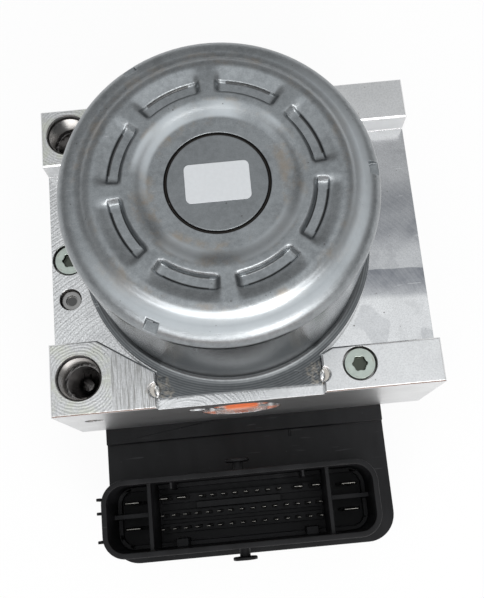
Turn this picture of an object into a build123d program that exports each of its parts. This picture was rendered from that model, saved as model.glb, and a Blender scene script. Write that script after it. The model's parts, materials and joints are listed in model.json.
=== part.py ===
# Hydraulic brake control module: pump motor, aluminium valve block and controller in one unit.
# Millimetres, +Z up along the motor axis. The origin is the centre of the footprint at the
# underside of the controller, the connector faces -Y and its mouth opens upwards.
from build123d import *
import os
from math import cos, radians, sin

os.makedirs("parts", exist_ok=True)

# Clearances
RUN = 0.05            # radial running fit of a moving piece
PRESS = 0.02          # radial gap left in the model at a pressed or staked seat
PLAY = 0.3            # free air between pieces that pass each other

# Valve block
BLOCK_W = 100.0
BLOCK_D = 84.4
BLOCK_H = 39.0
RAIL_H = 7.4          # rails above the milled middle
RAIL_D = 11.4         # depth of both right-hand rails
FRONT_BOSS_D = 18.8   # depth of the port boss at the front left
REAR_BOSS_D = 16.4    # depth of the port boss at the rear left
BOSS_W = 12.5         # width of the port bosses at full depth
NOTCH_X0 = -23.2      # the motor flange lies between these two edges of the rails
NOTCH_X1 = 19.3
SLOPE_Y = 9.4         # fall of the slope from boss to notch
RAIL_SLOPE = 3.0      # small slope at the right-hand notch corners
SEAT_H = 4.1          # motor seat above the milled middle
STAKE_R = 1.7         # half-round punch marks that hold the motor's flange
STAKE_INSET = 4.7     # punch marks from the front and rear faces
EDGE = 0.4            # broken edges of the block

# Controller housing
ECU_H = 26.0
ECU_X0 = -0.432 * BLOCK_W
ECU_X1 = 0.386 * BLOCK_W
ECU_FRONT = 80.9      # front face ahead of the block's centre
ECU_BACK = 41.4       # rear face behind the block's centre
ECU_WALL = 2.2
ECU_CORNER = 8.0
ECU_REAR_CORNER = 4.0
COVER_T = 2.4
COVER_LIP = 1.4
COVER_LIP_T = 1.2
FLANGE_REACH = 46.8   # front edge of the raised flange ahead of the block's centre
FLANGE_STEP = 1.4
SPLIT_RIB_X = 11.0
SPLIT_RIB = (0.5, 2.0, 0.4)
WINDOW_X = 0.35 * BLOCK_W   # half width of the window under the block
WINDOW_Y = 28.8
WINDOW_DX = -2.3
WINDOW_CORNER = 4.0
EAR_R = 4.6           # bosses for the case screws
SCREW_BOSS_H = 12.0

# Connector shroud
SHROUD_W = 0.753 * BLOCK_W
SHROUD_D = 20.7
SHROUD_X = -0.0495 * BLOCK_W
SHROUD_Y = 68.35      # centre ahead of the block's centre
SHROUD_TOP = 43.0
SHROUD_WALL = 1.5
SHROUD_R = 6.2
DIVIDER_T = 1.2
DIVIDER_X0 = -0.296 * BLOCK_W
DIVIDER_X1 = 0.193 * BLOCK_W
DIVIDER_DROP = 1.6    # dividers end below the rim
CROSS_RIB_H = 9.0     # low rib between the two blades of an end bay
SILL = 1.3            # ledge round the terminal window
GUIDE_X = (-0.24 * BLOCK_W, 0.13 * BLOCK_W)      # guide ribs on the rear wall of the middle bay
GUIDE = (0.8, 1.8)
GUIDE_DROP = 6.0
KEY_X = (-0.225 * BLOCK_W, 0.145 * BLOCK_W)      # coding steps on its front wall
KEY = (3.6, 2.2, 7.0)
BAR_X = (-0.18 * BLOCK_W, 0.065 * BLOCK_W)       # raised bar between the first two rows
BAR = (1.7, 3.2)
POST_R = 1.45
POST_HEAD_R = 3.3
POST_HEAD_T = 0.9
POST_REACH = 3.2      # outer face of the post's head from the shroud wall
POST_DROP = 5.2       # axis of the post below the rim
SIDE_RIB_T = 0.8
SIDE_RIB_REACH = 1.4
SIDE_RIB_DROP = 1.0
SIDE_RIB_Y = (62.6, 66.3, 73.8)

# Terminals
PITCH = 0.0315 * BLOCK_W
SMALL_T = (1.2, 0.64)
MEDIUM_T = (2.8, 0.8)
BLADE_T = (4.8, 0.8)
ROW_Y = (63.8, 68.4, 72.1)
ROW_COUNT = 15
TOP_ROW_COUNT = 8
TIP_Z = 36.0
MEDIUM_X = (-0.264 * BLOCK_W, -0.214 * BLOCK_W, 0.114 * BLOCK_W, 0.164 * BLOCK_W)
BLADE_X = (-0.352 * BLOCK_W, 0.254 * BLOCK_W)
BLADE_Y = (64.2, 71.2)
CARRIER_T = 3.0
CARRIER_LAP = 1.1
ROW_RIDGE = (0.466 * BLOCK_W, 2.6, 1.2)

# Circuit board and gasket
BOARD_T = 1.6
BOARD_Z = 5.0
BOARD_GAP = 0.6
BOARD_POST_R = 2.6
POST_INSET = 9.0
CHIPS = ((1.0, -46.0, 14.0), (10.0, 14.0, 11.0), (-14.0, 14.0, 11.0))
CHIP_T = 1.4
CAPACITORS = ((-0.3 * BLOCK_W, -50.0), (-0.18 * BLOCK_W, -50.0), (0.2 * BLOCK_W, -50.0), (0.3 * BLOCK_W, -50.0))
CAPACITOR = (4.0, 10.0)
GASKET_W = 2.0
GASKET_T = 1.2
GASKET_RIM = 1.8      # from the window to the gasket groove

# Motor
MOTOR_X = -2.3
MOTOR_DY = -0.4       # motor axis from the block's centre
CAN_R = 35.6
CAN_T = 1.8
FLANGE_R = CAN_R + 2.4
FLANGE_REACH_Y = BLOCK_D / 2 - 2.6
TAB_GAP = 0.35
CAN_SHOULDER = 41.2   # flat shoulder above the top of the rails
SHOULDER_R = 4.0
CREST_H = 2.0         # raised annulus above the shoulder
CREST_R0 = 0.517 * CAN_R
CREST_R1 = 0.792 * CAN_R
CREST_SLOPE = 2.2
CREST_EDGE = 1.2      # bend radii of the raised annulus and of the flange
CREST_FOOT = 0.9
FLANGE_BEND = 1.6
HUB_H = 0.6           # hub floor above the shoulder
HUB_DISC_R = 0.317 * CAN_R
HUB_GROOVE = (0.35, 0.5)
SPOKES = 8
SPOKE_TURN = 1.0
POCKET_MOUTH = (CREST_R0 + 0.6, CREST_R1 - 2.0, 17.9)   # radii and half angle
POCKET_FLOOR = (CREST_R0 + 3.0, CREST_R1 - 4.4, 16.2)
POCKET_DEPTH = 1.9
KEY_NOTCHES = 3
KEY_NOTCH = (3.1, 2.2)
LABEL = (14.1, 8.9, 0.2)
LABEL_CORNER = 1.2

# Rotor
SHAFT_R = 4.0
ECC_R = 6.5
ECC_OFFSET = 1.0
ECC_H = 9.0
RING_R = 9.0
JOURNAL_R = 3.5
FRONT_BEARING = (11.0, 6.0)
END_BEARING = (7.0, 5.0)
UPPER_BEARING = (8.0, 6.0)
SEAT_LEDGE = 1.5      # ledge that the front bearing stands on
CORE_H = 21.0
CORE_Z0 = 14.0        # core above the motor seat
SLOTS = 12
SLOT_MOUTH = 1.6
SLOT_HALF = 9.0       # half angle of a slot
TOOTH_TIP = 2.4
COIL_HALF = 7.0       # half angle of the winding in a slot
WINDING_EDGE = 1.4
BAR_GAP = (1.2, 0.4)  # depth and width of the cuts between the commutator's bars
WINDING_R0 = 12.5
WINDING_H = 4.5
COMM_R = 9.5
COMM_H = 7.0
COMM_Z0 = 2.2
MAGNET_T = 5.6
CORE_R = CAN_R - CAN_T - MAGNET_T - 1.4
WINDING_R1 = CORE_R - 3.8
MAGNET_H = 25.0
MAGNET_HALF = 66.0
BRUSH_PLATE_T = 2.0
BRUSH_PLATE_R = CAN_R - CAN_T - 1.3
BRUSH = (5.0, 9.0, 4.0)
BRUSH_BOX_WALL = 1.0
BRUSH_BOX_L = BRUSH_PLATE_R - 15.5
BRUSH_GAP = 1.5       # from the commutator to the brush boxes
LEAD_X = MOTOR_X + CAN_R - 14.5
LEAD_Y = -13.0
LEAD_PITCH = 4.0
LEAD = (1.6, 1.0)
LEAD_HOLE_R = 4.4
LEAD_SOCKET = (4.0, 7.0, 4.5)
LEAD_DEPTH = 3.5      # how far the leads reach into their socket
BRUSH_SPRING = (1.5, 0.3, 4)

# Pump elements
PUMP_DROP = 17.5      # pump axis below the top of the rails
CAVITY_R = 13.0
PLUG_R = 10.6
PLUG_L = 7.0
PLUG_SINK = 1.2
SLEEVE_R = 7.2
SLEEVE_S0 = 14.0
SLEEVE_END = 3.0
SLEEVE_HOLE_R = 1.5
PISTON_EDGE = 0.5
PLUG_STEM_R = 6.8     # stem that holds the sleeve down
PLUG_RECESS = (8.2, 1.6)
PISTON_R = 4.0
PISTON_L = 12.0
PUMP_SPRING = (3.1, 0.45, 3.0)   # radius, wire radius, turns
SPRING_ROOM = 8.0     # from the resting piston to the end of the sleeve's bore

# Accumulators
ACC_DX = 22.0
ACC_DY = 18.0
ACC_R = 9.5
ACC_BORE_H = 17.0
ACC_PISTON_H = 5.0
ACC_PISTON_T = 2.0    # wall and crown of the cup-shaped piston
ACC_VENT_R = 1.0
ACC_CAP_T = 1.5
ACC_SPRING = (6.4, 0.75, 3.5)

# Solenoid valves
VALVE_DX = (-0.28 * BLOCK_W, -0.142 * BLOCK_W, 0.142 * BLOCK_W, 0.28 * BLOCK_W)
VALVE_DY = (-22.0, -4.0)
VALVE_COLLAR = (5.1, 2.6)
VALVE_BODY = (4.1, 12.0)
VALVE_ROOM = 1.0      # pressure room above the valve body
VALVE_BORE_R = 1.0
DOME_R = 3.0
DOME_WALL = 0.7
DOME_DROP = 14.5
PLUNGER_L = 9.0
PLUNGER_PLAY = 0.35   # free way of the plunger above and below
COIL_R = 0.064 * BLOCK_W
COIL_H = 13.0
COIL_LEG = 0.8
COIL_LEG_DX = 4.6

# Ports, screws and holes
PORT_X = -BLOCK_W / 2 + 7.4
PORT_FRONT_DY = -BLOCK_D / 2 + 9.5
PORT_REAR_DY = BLOCK_D / 2 - 7.5
PORT_R = 5.5
PORT_MOUTH_R = 5.95
PORT_L = 8.0
PORT_LEDGE_R = 4.45
PORT_CONE_L = 4.5
PORT_DRILL_R = 1.6
PORT_DRILL_L = 8.0
WHEEL_PORT_R = 4.5
WHEEL_PORT_UP = 14.0
WHEEL_PORTS = ((-24.0, 11.0), (-9.4, 11.5), (12.0, 12.0), (27.0, 12.5))   # place and depth
MOUNT_R = 2.5
MOUNT_L = 7.0
MOUNT_X = BLOCK_W / 2 - 8.3
MOUNT_DROP = 14.2
SIDE_MOUNT_UP = 14.0
SCREW_RIGHT_X = 0.289 * BLOCK_W
SCREW_LEFT_X = -0.453 * BLOCK_W
SCREW_LEFT_DY = 1.3
SCREW_INSET = 6.6     # right-hand screws from the front and rear faces
SCREW_HEAD_R = 3.95
SCREW_HEAD_H = 2.6
SCREW_SINK_R = 4.4
SCREW_SINK = 0.5
SCREW_R = 2.0
SCREW_HOLE_R = 2.2
SCREW_GRIP = 9.0
SOCKET_R = 1.95
SOCKET_LOBE_R = 0.62
SOCKET_CORE_R = 1.68
SOCKET_DEPTH = 1.5
PLUGGED = (SCREW_LEFT_X, -9.9)
PLUGGED_R = 2.95
PLUGGED_SINK = 1.4
PLUGGED_L = 3.0
PLUG_DIMPLE = 1.0
BALL_HOLE_X = -13.9
BALL_HOLE_DROP = 11.2
BALL_HOLE_R = 2.2
BALL_HOLE_L = 1.6

# Levels and places worked out from the sizes above
OVERALL_FRONT = SHROUD_Y + SHROUD_D / 2 + POST_REACH
BLOCK_Y = (OVERALL_FRONT - BLOCK_D / 2) / 2
MOTOR_Y = BLOCK_Y + MOTOR_DY
Z_BLOCK = ECU_H
Z_MID = ECU_H + BLOCK_H - RAIL_H
Z_SEAT = Z_MID + SEAT_H
Z_RAIL = ECU_H + BLOCK_H
Z_PUMP = Z_RAIL - PUMP_DROP
Z_SHOULDER = Z_RAIL + CAN_SHOULDER
Z_CREST = Z_SHOULDER + CREST_H
Z_HUB = Z_SHOULDER + HUB_H
Z_SHELF = ECU_H - FLANGE_STEP
Z_ROOF = Z_SHELF - ECU_WALL
Z_BOARD = BOARD_Z + BOARD_T
ECU_FRONT_Y = BLOCK_Y - ECU_FRONT
ECU_BACK_Y = BLOCK_Y + ECU_BACK
ECU_MID_X = (ECU_X0 + ECU_X1) / 2
ECU_MID_Y = (ECU_FRONT_Y + ECU_BACK_Y) / 2
ECU_W = ECU_X1 - ECU_X0
ECU_L = ECU_BACK_Y - ECU_FRONT_Y
SHROUD_CY = BLOCK_Y - SHROUD_Y
PISTON_S0 = RING_R + ECC_OFFSET + PLAY
PUMP_STROKE = 2 * ECC_OFFSET
SLEEVE_S1 = PISTON_S0 + PISTON_L + SPRING_ROOM
MOTOR_AXIS = Axis((MOTOR_X, MOTOR_Y, 0), (0, 0, 1))
SCREWS = (
    (SCREW_RIGHT_X, -BLOCK_D / 2 + SCREW_INSET, Z_RAIL),
    (SCREW_RIGHT_X, BLOCK_D / 2 - SCREW_INSET, Z_RAIL),
    (SCREW_LEFT_X, SCREW_LEFT_DY, Z_MID),
)


def save(piece, name):
    """Label the finished piece and write its STEP file."""
    piece.part.label = name
    export_step(piece.part, f"parts/{name}.step")


def motor_plane(z):
    """A level plane on the motor axis."""
    return Plane(origin=(MOTOR_X, MOTOR_Y, z))


def spot(x, dy, z):
    """A level plane at a place given from the block's centre."""
    return Plane(origin=(x, BLOCK_Y + dy, z))


def radial_plane(x, y):
    """An upright plane through a vertical axis: local x is the radius, local y is the height."""
    return Plane(origin=(x, y, 0), x_dir=(1, 0, 0), z_dir=(0, -1, 0))


def pump_plane(side, reach):
    """A plane square to the pump axis, this far out from the motor axis."""
    return Plane(origin=(MOTOR_X, MOTOR_Y + side * reach, Z_PUMP), x_dir=(1, 0, 0), z_dir=(0, side, 0))


def disc(plane, radius, length, mode=Mode.ADD):
    """A round length of stock standing on the plane."""
    with BuildSketch(plane) as face:
        Circle(radius)
    extrude(face.sketch, amount=length, mode=mode)


def plate(plane, places, width, depth, length, mode=Mode.ADD, corner=0.0):
    """Rectangular blocks standing on the plane at the given places."""
    with BuildSketch(plane) as face:
        with Locations(*places):
            if corner:
                RectangleRounded(width, depth, corner)
            else:
                Rectangle(width, depth)
    extrude(face.sketch, amount=length, mode=mode)


def coil_spring(plane, radius, wire, turns, length):
    """A round-wire compression spring standing on the plane."""
    pitch = (length - 2 * wire) / turns
    start = plane.offset(wire)
    with BuildLine() as path:
        Helix(pitch=pitch, height=pitch * turns, radius=radius, center=start.origin, direction=start.z_dir)
    with BuildSketch(Plane(origin=path.line @ 0, z_dir=path.line % 0)) as wire_section:
        Circle(wire)
    sweep(wire_section.sketch, path=path.line)


# Valve block: sawn from an extruded bar, milled between the rails and drilled from all sides
def notch_side(sign, boss_depth):
    """Inner edge of a front or rear rail, from the left face to the right face."""
    outer = BLOCK_Y + sign * BLOCK_D / 2
    boss = outer - sign * boss_depth
    rail = outer - sign * RAIL_D
    return [
        (-BLOCK_W / 2, boss),
        (-BLOCK_W / 2 + BOSS_W, boss),
        (NOTCH_X0, boss + sign * SLOPE_Y),
        (NOTCH_X1, rail + sign * RAIL_SLOPE / 2),
        (NOTCH_X1 + RAIL_SLOPE, rail),
        (BLOCK_W / 2, rail),
    ]


with BuildPart() as valve_block:
    with BuildSketch(Plane.XY.offset(Z_BLOCK)):
        with Locations((0, BLOCK_Y)):
            Rectangle(BLOCK_W, BLOCK_D)
    extrude(amount=BLOCK_H)
    with BuildSketch(Plane.XY.offset(Z_MID)):
        with BuildLine():
            Polyline(*notch_side(-1, FRONT_BOSS_D), *reversed(notch_side(1, REAR_BOSS_D)), close=True)
        make_face()
    extrude(amount=RAIL_H, mode=Mode.SUBTRACT)
    disc(motor_plane(Z_MID), FLANGE_R + TAB_GAP, SEAT_H)
    plate(Plane.XY.offset(Z_SEAT), [((NOTCH_X0 + NOTCH_X1) / 2, BLOCK_Y)], NOTCH_X1 - NOTCH_X0,
          BLOCK_D, RAIL_H, mode=Mode.SUBTRACT)
    plate(Plane.XY.offset(Z_MID), [((NOTCH_X0 + NOTCH_X1) / 2, BLOCK_Y)], NOTCH_X1 - NOTCH_X0,
          BLOCK_D, SEAT_H)
    for x in (NOTCH_X0, NOTCH_X1):
        for dy in (STAKE_INSET - BLOCK_D / 2, BLOCK_D / 2 - STAKE_INSET):
            disc(spot(x, dy, Z_SEAT + CAN_T), STAKE_R, RAIL_H, mode=Mode.SUBTRACT)
    chamfer(valve_block.edges().group_by(Axis.Z)[-1], length=EDGE)
    # Rotor cavity with the seats of its bearings
    disc(motor_plane(Z_SEAT), FRONT_BEARING[0] + PRESS, -FRONT_BEARING[1], mode=Mode.SUBTRACT)
    disc(motor_plane(Z_SEAT - FRONT_BEARING[1]), FRONT_BEARING[0] - SEAT_LEDGE,
         Z_PUMP + ECC_H / 2 + PLAY - Z_SEAT + FRONT_BEARING[1], mode=Mode.SUBTRACT)
    disc(motor_plane(Z_PUMP - ECC_H / 2 - PLAY), CAVITY_R, ECC_H + 2 * PLAY, mode=Mode.SUBTRACT)
    disc(motor_plane(Z_PUMP - ECC_H / 2 - PLAY), END_BEARING[0] + PRESS, -END_BEARING[1],
         mode=Mode.SUBTRACT)
    # Pump bores from the front and the rear face
    for side in (-1, 1):
        face = BLOCK_D / 2 - side * MOTOR_DY
        disc(pump_plane(side, face), PLUG_R + PRESS, -PLUG_L - PLUG_SINK, mode=Mode.SUBTRACT)
        disc(pump_plane(side, CAVITY_R - 1), SLEEVE_R + PRESS, face - CAVITY_R + 1, mode=Mode.SUBTRACT)
    # Valve bores and accumulator bores from below
    for dx in VALVE_DX:
        for dy in VALVE_DY:
            mouth = spot(MOTOR_X + dx, dy, Z_BLOCK)
            disc(mouth, VALVE_COLLAR[0] + PRESS, VALVE_COLLAR[1], mode=Mode.SUBTRACT)
            disc(mouth, VALVE_BODY[0] + PRESS, VALVE_COLLAR[1] + VALVE_BODY[1] + VALVE_ROOM, mode=Mode.SUBTRACT)
    for dx in (-ACC_DX, ACC_DX):
        disc(spot(MOTOR_X + dx, ACC_DY, Z_BLOCK), ACC_R, ACC_BORE_H, mode=Mode.SUBTRACT)
    disc(spot(LEAD_X, LEAD_Y, Z_BLOCK), LEAD_HOLE_R, Z_SEAT - Z_BLOCK, mode=Mode.SUBTRACT)
    # Master cylinder ports in the rail bosses
    for dy in (PORT_FRONT_DY, PORT_REAR_DY):
        with BuildSketch(radial_plane(PORT_X, BLOCK_Y + dy)):
            with BuildLine():
                Polyline(
                    (0, Z_RAIL), (PORT_MOUTH_R, Z_RAIL), (PORT_R, Z_RAIL - 2 * (PORT_MOUTH_R - PORT_R)),
                    (PORT_R, Z_RAIL - PORT_L), (PORT_LEDGE_R, Z_RAIL - PORT_L),
                    (PORT_DRILL_R, Z_RAIL - PORT_L - PORT_CONE_L),
                    (PORT_DRILL_R, Z_RAIL - PORT_L - PORT_CONE_L - PORT_DRILL_L),
                    (0, Z_RAIL - PORT_L - PORT_CONE_L - PORT_DRILL_L), close=True,
                )
            make_face()
        revolve(axis=Axis((PORT_X, BLOCK_Y + dy, 0), (0, 0, 1)), mode=Mode.SUBTRACT)
    # Wheel ports in the left face and bracket threads in the front, rear and right faces
    for dy, depth in WHEEL_PORTS:
        mouth = Plane(origin=(-BLOCK_W / 2, BLOCK_Y + dy, Z_BLOCK + WHEEL_PORT_UP), z_dir=(-1, 0, 0))
        disc(mouth, WHEEL_PORT_R, -depth, mode=Mode.SUBTRACT)
    for side in (-1, 1):
        end = Plane(origin=(0, BLOCK_Y + side * BLOCK_D / 2, Z_RAIL), x_dir=(-side, 0, 0), z_dir=(0, side, 0))
        with BuildSketch(end):
            with Locations((-MOUNT_X, -MOUNT_DROP)):
                Circle(MOUNT_R)
        extrude(amount=-MOUNT_L, mode=Mode.SUBTRACT)
        with BuildSketch(end):
            with Locations((-side * BALL_HOLE_X, -BALL_HOLE_DROP)):
                Circle(BALL_HOLE_R)
        extrude(amount=-BALL_HOLE_L, mode=Mode.SUBTRACT)
    right_face = Plane(origin=(BLOCK_W / 2, BLOCK_Y, Z_BLOCK + SIDE_MOUNT_UP), x_dir=(0, 1, 0), z_dir=(1, 0, 0))
    disc(right_face, MOUNT_R, -MOUNT_L, mode=Mode.SUBTRACT)
    # Screw holes and the plugged bore beside the motor
    for x, dy, top in SCREWS:
        disc(spot(x, dy, top), SCREW_SINK_R, -SCREW_HEAD_H - SCREW_SINK, mode=Mode.SUBTRACT)
        disc(spot(x, dy, Z_BLOCK), SCREW_HOLE_R, BLOCK_H, mode=Mode.SUBTRACT)
    disc(spot(*PLUGGED, Z_MID), PLUGGED_R, -PLUGGED_SINK - PLUGGED_L, mode=Mode.SUBTRACT)
save(valve_block, "valve_block")

with BuildPart() as bore_plug:
    plug_top = spot(*PLUGGED, Z_MID - PLUGGED_SINK)
    disc(plug_top, PLUGGED_R - PRESS, -PLUGGED_L)
    disc(plug_top, PLUGGED_R / 2, -PLUG_DIMPLE, mode=Mode.SUBTRACT)
    chamfer(bore_plug.edges().group_by(Axis.Z)[-1].sort_by(SortBy.LENGTH)[-1], length=EDGE)
save(bore_plug, "bore_plug")

# Case screws: flat round head with a six-lobe socket, through the block into the housing
with BuildPart() as case_screws:
    for x, dy, top in SCREWS:
        head = spot(x, dy, top - SCREW_SINK)
        disc(head, SCREW_HEAD_R, -SCREW_HEAD_H)
        disc(head, SCREW_R, Z_BLOCK - SCREW_GRIP - top + SCREW_SINK)
        with BuildSketch(head):
            Circle(SOCKET_CORE_R)
            with PolarLocations(SOCKET_R - SOCKET_LOBE_R, 6):
                Circle(SOCKET_LOBE_R)
        extrude(amount=-SOCKET_DEPTH, mode=Mode.SUBTRACT)
save(case_screws, "case_screws")


# Motor can: drawn steel cup with a flange, a stepped end and pressed pockets between spokes
def ring_sector(inner, outer, half, turn):
    """A sector of a ring, half degrees to each side of its middle."""
    a0 = radians(turn - half)
    a1 = radians(turn + half)
    with BuildLine() as edge:
        CenterArc((0, 0), outer, turn - half, 2 * half)
        Line((outer * cos(a1), outer * sin(a1)), (inner * cos(a1), inner * sin(a1)))
        CenterArc((0, 0), inner, turn - half, 2 * half)
        Line((inner * cos(a0), inner * sin(a0)), (outer * cos(a0), outer * sin(a0)))
    make_face(edge.edges())


def round_corners(sketch, corners):
    """Round the named corners (x, y, radius) of the open sketch."""
    for x, y, radius in corners:
        fillet(sketch.vertices().sort_by_distance((x, y, 0))[0], radius=radius)


with BuildPart() as motor_can:
    with BuildSketch(radial_plane(MOTOR_X, MOTOR_Y)) as section:
        with BuildLine():
            Polyline(
                (0, Z_SEAT), (FLANGE_R, Z_SEAT), (FLANGE_R, Z_SEAT + CAN_T), (CAN_R, Z_SEAT + CAN_T),
                (CAN_R, Z_SHOULDER), (CREST_R1 + CREST_SLOPE, Z_SHOULDER), (CREST_R1, Z_CREST),
                (CREST_R0, Z_CREST), (CREST_R0 - CREST_SLOPE, Z_HUB), (0, Z_HUB), close=True,
            )
        make_face()
        round_corners(section, [
            (CAN_R, Z_SEAT + CAN_T, FLANGE_BEND), (CAN_R, Z_SHOULDER, SHOULDER_R),
            (CREST_R1 + CREST_SLOPE, Z_SHOULDER, CREST_FOOT), (CREST_R1, Z_CREST, CREST_EDGE),
            (CREST_R0, Z_CREST, CREST_EDGE), (CREST_R0 - CREST_SLOPE, Z_HUB, CREST_FOOT),
        ])
    revolve(axis=MOTOR_AXIS)
    # Flange tabs between the rails
    tab_w = NOTCH_X1 - NOTCH_X0 - 2 * TAB_GAP
    plate(Plane.XY.offset(Z_SEAT), [((NOTCH_X0 + NOTCH_X1) / 2, BLOCK_Y)], tab_w, 2 * FLANGE_REACH_Y, CAN_T)
    # Hollow of the can, with its floor following the stepped end
    with BuildSketch(radial_plane(MOTOR_X, MOTOR_Y)) as hollow:
        with BuildLine():
            Polyline(
                (0, Z_SEAT), (CAN_R - CAN_T, Z_SEAT), (CAN_R - CAN_T, Z_SHOULDER - CAN_T),
                (CREST_R1 + CREST_SLOPE - CAN_T, Z_SHOULDER - CAN_T), (CREST_R1 - CAN_T / 2, Z_CREST - CAN_T),
                (CREST_R0 + CAN_T / 2, Z_CREST - CAN_T), (CREST_R0 - CREST_SLOPE + CAN_T, Z_HUB - CAN_T),
                (UPPER_BEARING[0] + CAN_T, Z_HUB - CAN_T),
                (UPPER_BEARING[0] + CAN_T, Z_HUB - CAN_T - UPPER_BEARING[1]),
                (UPPER_BEARING[0] + PRESS, Z_HUB - CAN_T - UPPER_BEARING[1]),
                (UPPER_BEARING[0] + PRESS, Z_HUB - CAN_T), (0, Z_HUB - CAN_T), close=True,
            )
        make_face()
        round_corners(hollow, [(CAN_R - CAN_T, Z_SHOULDER - CAN_T, SHOULDER_R - CAN_T)])
    revolve(axis=MOTOR_AXIS, mode=Mode.SUBTRACT)
    # Pockets pressed into the raised annulus, with the sheet standing down on the inside
    for i in range(SPOKES):
        turn = SPOKE_TURN + (i + 0.5) * 360 / SPOKES
        with BuildSketch(motor_plane(Z_CREST - POCKET_DEPTH - CAN_T)):
            ring_sector(POCKET_FLOOR[0] - CAN_T, POCKET_FLOOR[1] + CAN_T, POCKET_MOUTH[2], turn)
        extrude(amount=POCKET_DEPTH + CAN_T / 2)
    for i in range(SPOKES):
        turn = SPOKE_TURN + (i + 0.5) * 360 / SPOKES
        with BuildSketch(motor_plane(Z_CREST)):
            ring_sector(*POCKET_MOUTH, turn)
        with BuildSketch(motor_plane(Z_CREST - POCKET_DEPTH)):
            ring_sector(*POCKET_FLOOR, turn)
        loft(mode=Mode.SUBTRACT)
    # Groove round the hub disc and key notches in the rim
    with BuildSketch(motor_plane(Z_HUB)):
        Circle(HUB_DISC_R + HUB_GROOVE[0] / 2)
        Circle(HUB_DISC_R - HUB_GROOVE[0] / 2, mode=Mode.SUBTRACT)
    extrude(amount=-HUB_GROOVE[1], mode=Mode.SUBTRACT)
    with BuildSketch(motor_plane(Z_SHOULDER - KEY_NOTCH[1])):
        with PolarLocations(CAN_R, KEY_NOTCHES, start_angle=SPOKE_TURN):
            Rectangle(KEY_NOTCH[0], KEY_NOTCH[0])
    extrude(amount=KEY_NOTCH[1], mode=Mode.SUBTRACT)
save(motor_can, "motor_can")

with BuildPart() as motor_label:
    plate(motor_plane(Z_HUB), [(0, 0)], LABEL[0], LABEL[1], LABEL[2], corner=LABEL_CORNER)
save(motor_label, "motor_label")


# Bearings, shaft and rotor
def bearing(z, outer, length, bore):
    """A bearing ring on the motor axis from z upwards."""
    with BuildPart() as ring:
        with BuildSketch(motor_plane(z)):
            Circle(outer)
            Circle(bore, mode=Mode.SUBTRACT)
        extrude(amount=length)
    return ring


Z_UPPER = Z_HUB - CAN_T - UPPER_BEARING[1]
Z_FRONT = Z_SEAT - FRONT_BEARING[1]
Z_END = Z_PUMP - ECC_H / 2 - PLAY - END_BEARING[1]
save(bearing(Z_UPPER, UPPER_BEARING[0], UPPER_BEARING[1], SHAFT_R + RUN), "upper_bearing")
save(bearing(Z_FRONT, FRONT_BEARING[0], FRONT_BEARING[1], SHAFT_R + RUN), "front_bearing")
save(bearing(Z_END, END_BEARING[0], END_BEARING[1], JOURNAL_R + RUN), "end_bearing")

with BuildPart() as motor_shaft:
    disc(motor_plane(Z_PUMP + ECC_H / 2), SHAFT_R, Z_HUB - CAN_T - PLAY - Z_PUMP - ECC_H / 2)
    disc(motor_plane(Z_END + PLAY), JOURNAL_R, Z_PUMP - ECC_H / 2 - Z_END - PLAY)
    disc(Plane(origin=(MOTOR_X + ECC_OFFSET, MOTOR_Y, Z_PUMP - ECC_H / 2)), ECC_R, ECC_H)
save(motor_shaft, "motor_shaft")

with BuildPart() as eccentric_ring:
    with BuildSketch(Plane(origin=(MOTOR_X + ECC_OFFSET, MOTOR_Y, Z_PUMP - ECC_H / 2))):
        Circle(RING_R)
        Circle(ECC_R + RUN, mode=Mode.SUBTRACT)
    extrude(amount=ECC_H)
save(eccentric_ring, "eccentric_ring")

Z_CORE = Z_SEAT + CORE_Z0
SLOT_R0 = WINDING_R0 + 1.5
SLOT_R1 = CORE_R - TOOTH_TIP
with BuildPart() as armature_core:
    with BuildSketch(motor_plane(Z_CORE)):
        Circle(CORE_R)
        Circle(SHAFT_R + PRESS, mode=Mode.SUBTRACT)
        for i in range(SLOTS):
            with BuildSketch(mode=Mode.PRIVATE) as slot:
                ring_sector(SLOT_R0, SLOT_R1, SLOT_HALF, i * 360 / SLOTS)
            add(slot.sketch, mode=Mode.SUBTRACT)
        with PolarLocations(SLOT_R1 + 1, SLOTS):
            Rectangle(CORE_R - SLOT_R1 + 1, SLOT_MOUTH, mode=Mode.SUBTRACT)
    extrude(amount=CORE_H)
save(armature_core, "armature_core")

with BuildPart() as armature_windings:
    for z in (Z_CORE - WINDING_H, Z_CORE + CORE_H):
        with BuildSketch(motor_plane(z)):
            Circle(WINDING_R1)
            Circle(WINDING_R0, mode=Mode.SUBTRACT)
        extrude(amount=WINDING_H)
    fillet(armature_windings.edges().filter_by(GeomType.CIRCLE), radius=WINDING_EDGE)
    for i in range(SLOTS):
        with BuildSketch(motor_plane(Z_CORE - WINDING_H / 2)):
            ring_sector(SLOT_R0 + PLAY, WINDING_R1 - WINDING_EDGE, COIL_HALF, i * 360 / SLOTS)
        extrude(amount=CORE_H + WINDING_H)
save(armature_windings, "armature_windings")

with BuildPart() as commutator:
    with BuildSketch(motor_plane(Z_SEAT + COMM_Z0)):
        Circle(COMM_R)
        Circle(SHAFT_R + PRESS, mode=Mode.SUBTRACT)
        with PolarLocations(COMM_R, SLOTS, start_angle=180 / SLOTS):
            Rectangle(*BAR_GAP, mode=Mode.SUBTRACT)
    extrude(amount=COMM_H)
save(commutator, "commutator")

for name, turn in (("magnet_left", 180), ("magnet_right", 0)):
    with BuildPart() as magnet:
        with BuildSketch(motor_plane(Z_CORE + (CORE_H - MAGNET_H) / 2)):
            ring_sector(CAN_R - CAN_T - PRESS - MAGNET_T, CAN_R - CAN_T - PRESS, MAGNET_HALF, turn)
        extrude(amount=MAGNET_H)
    save(magnet, name)

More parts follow.
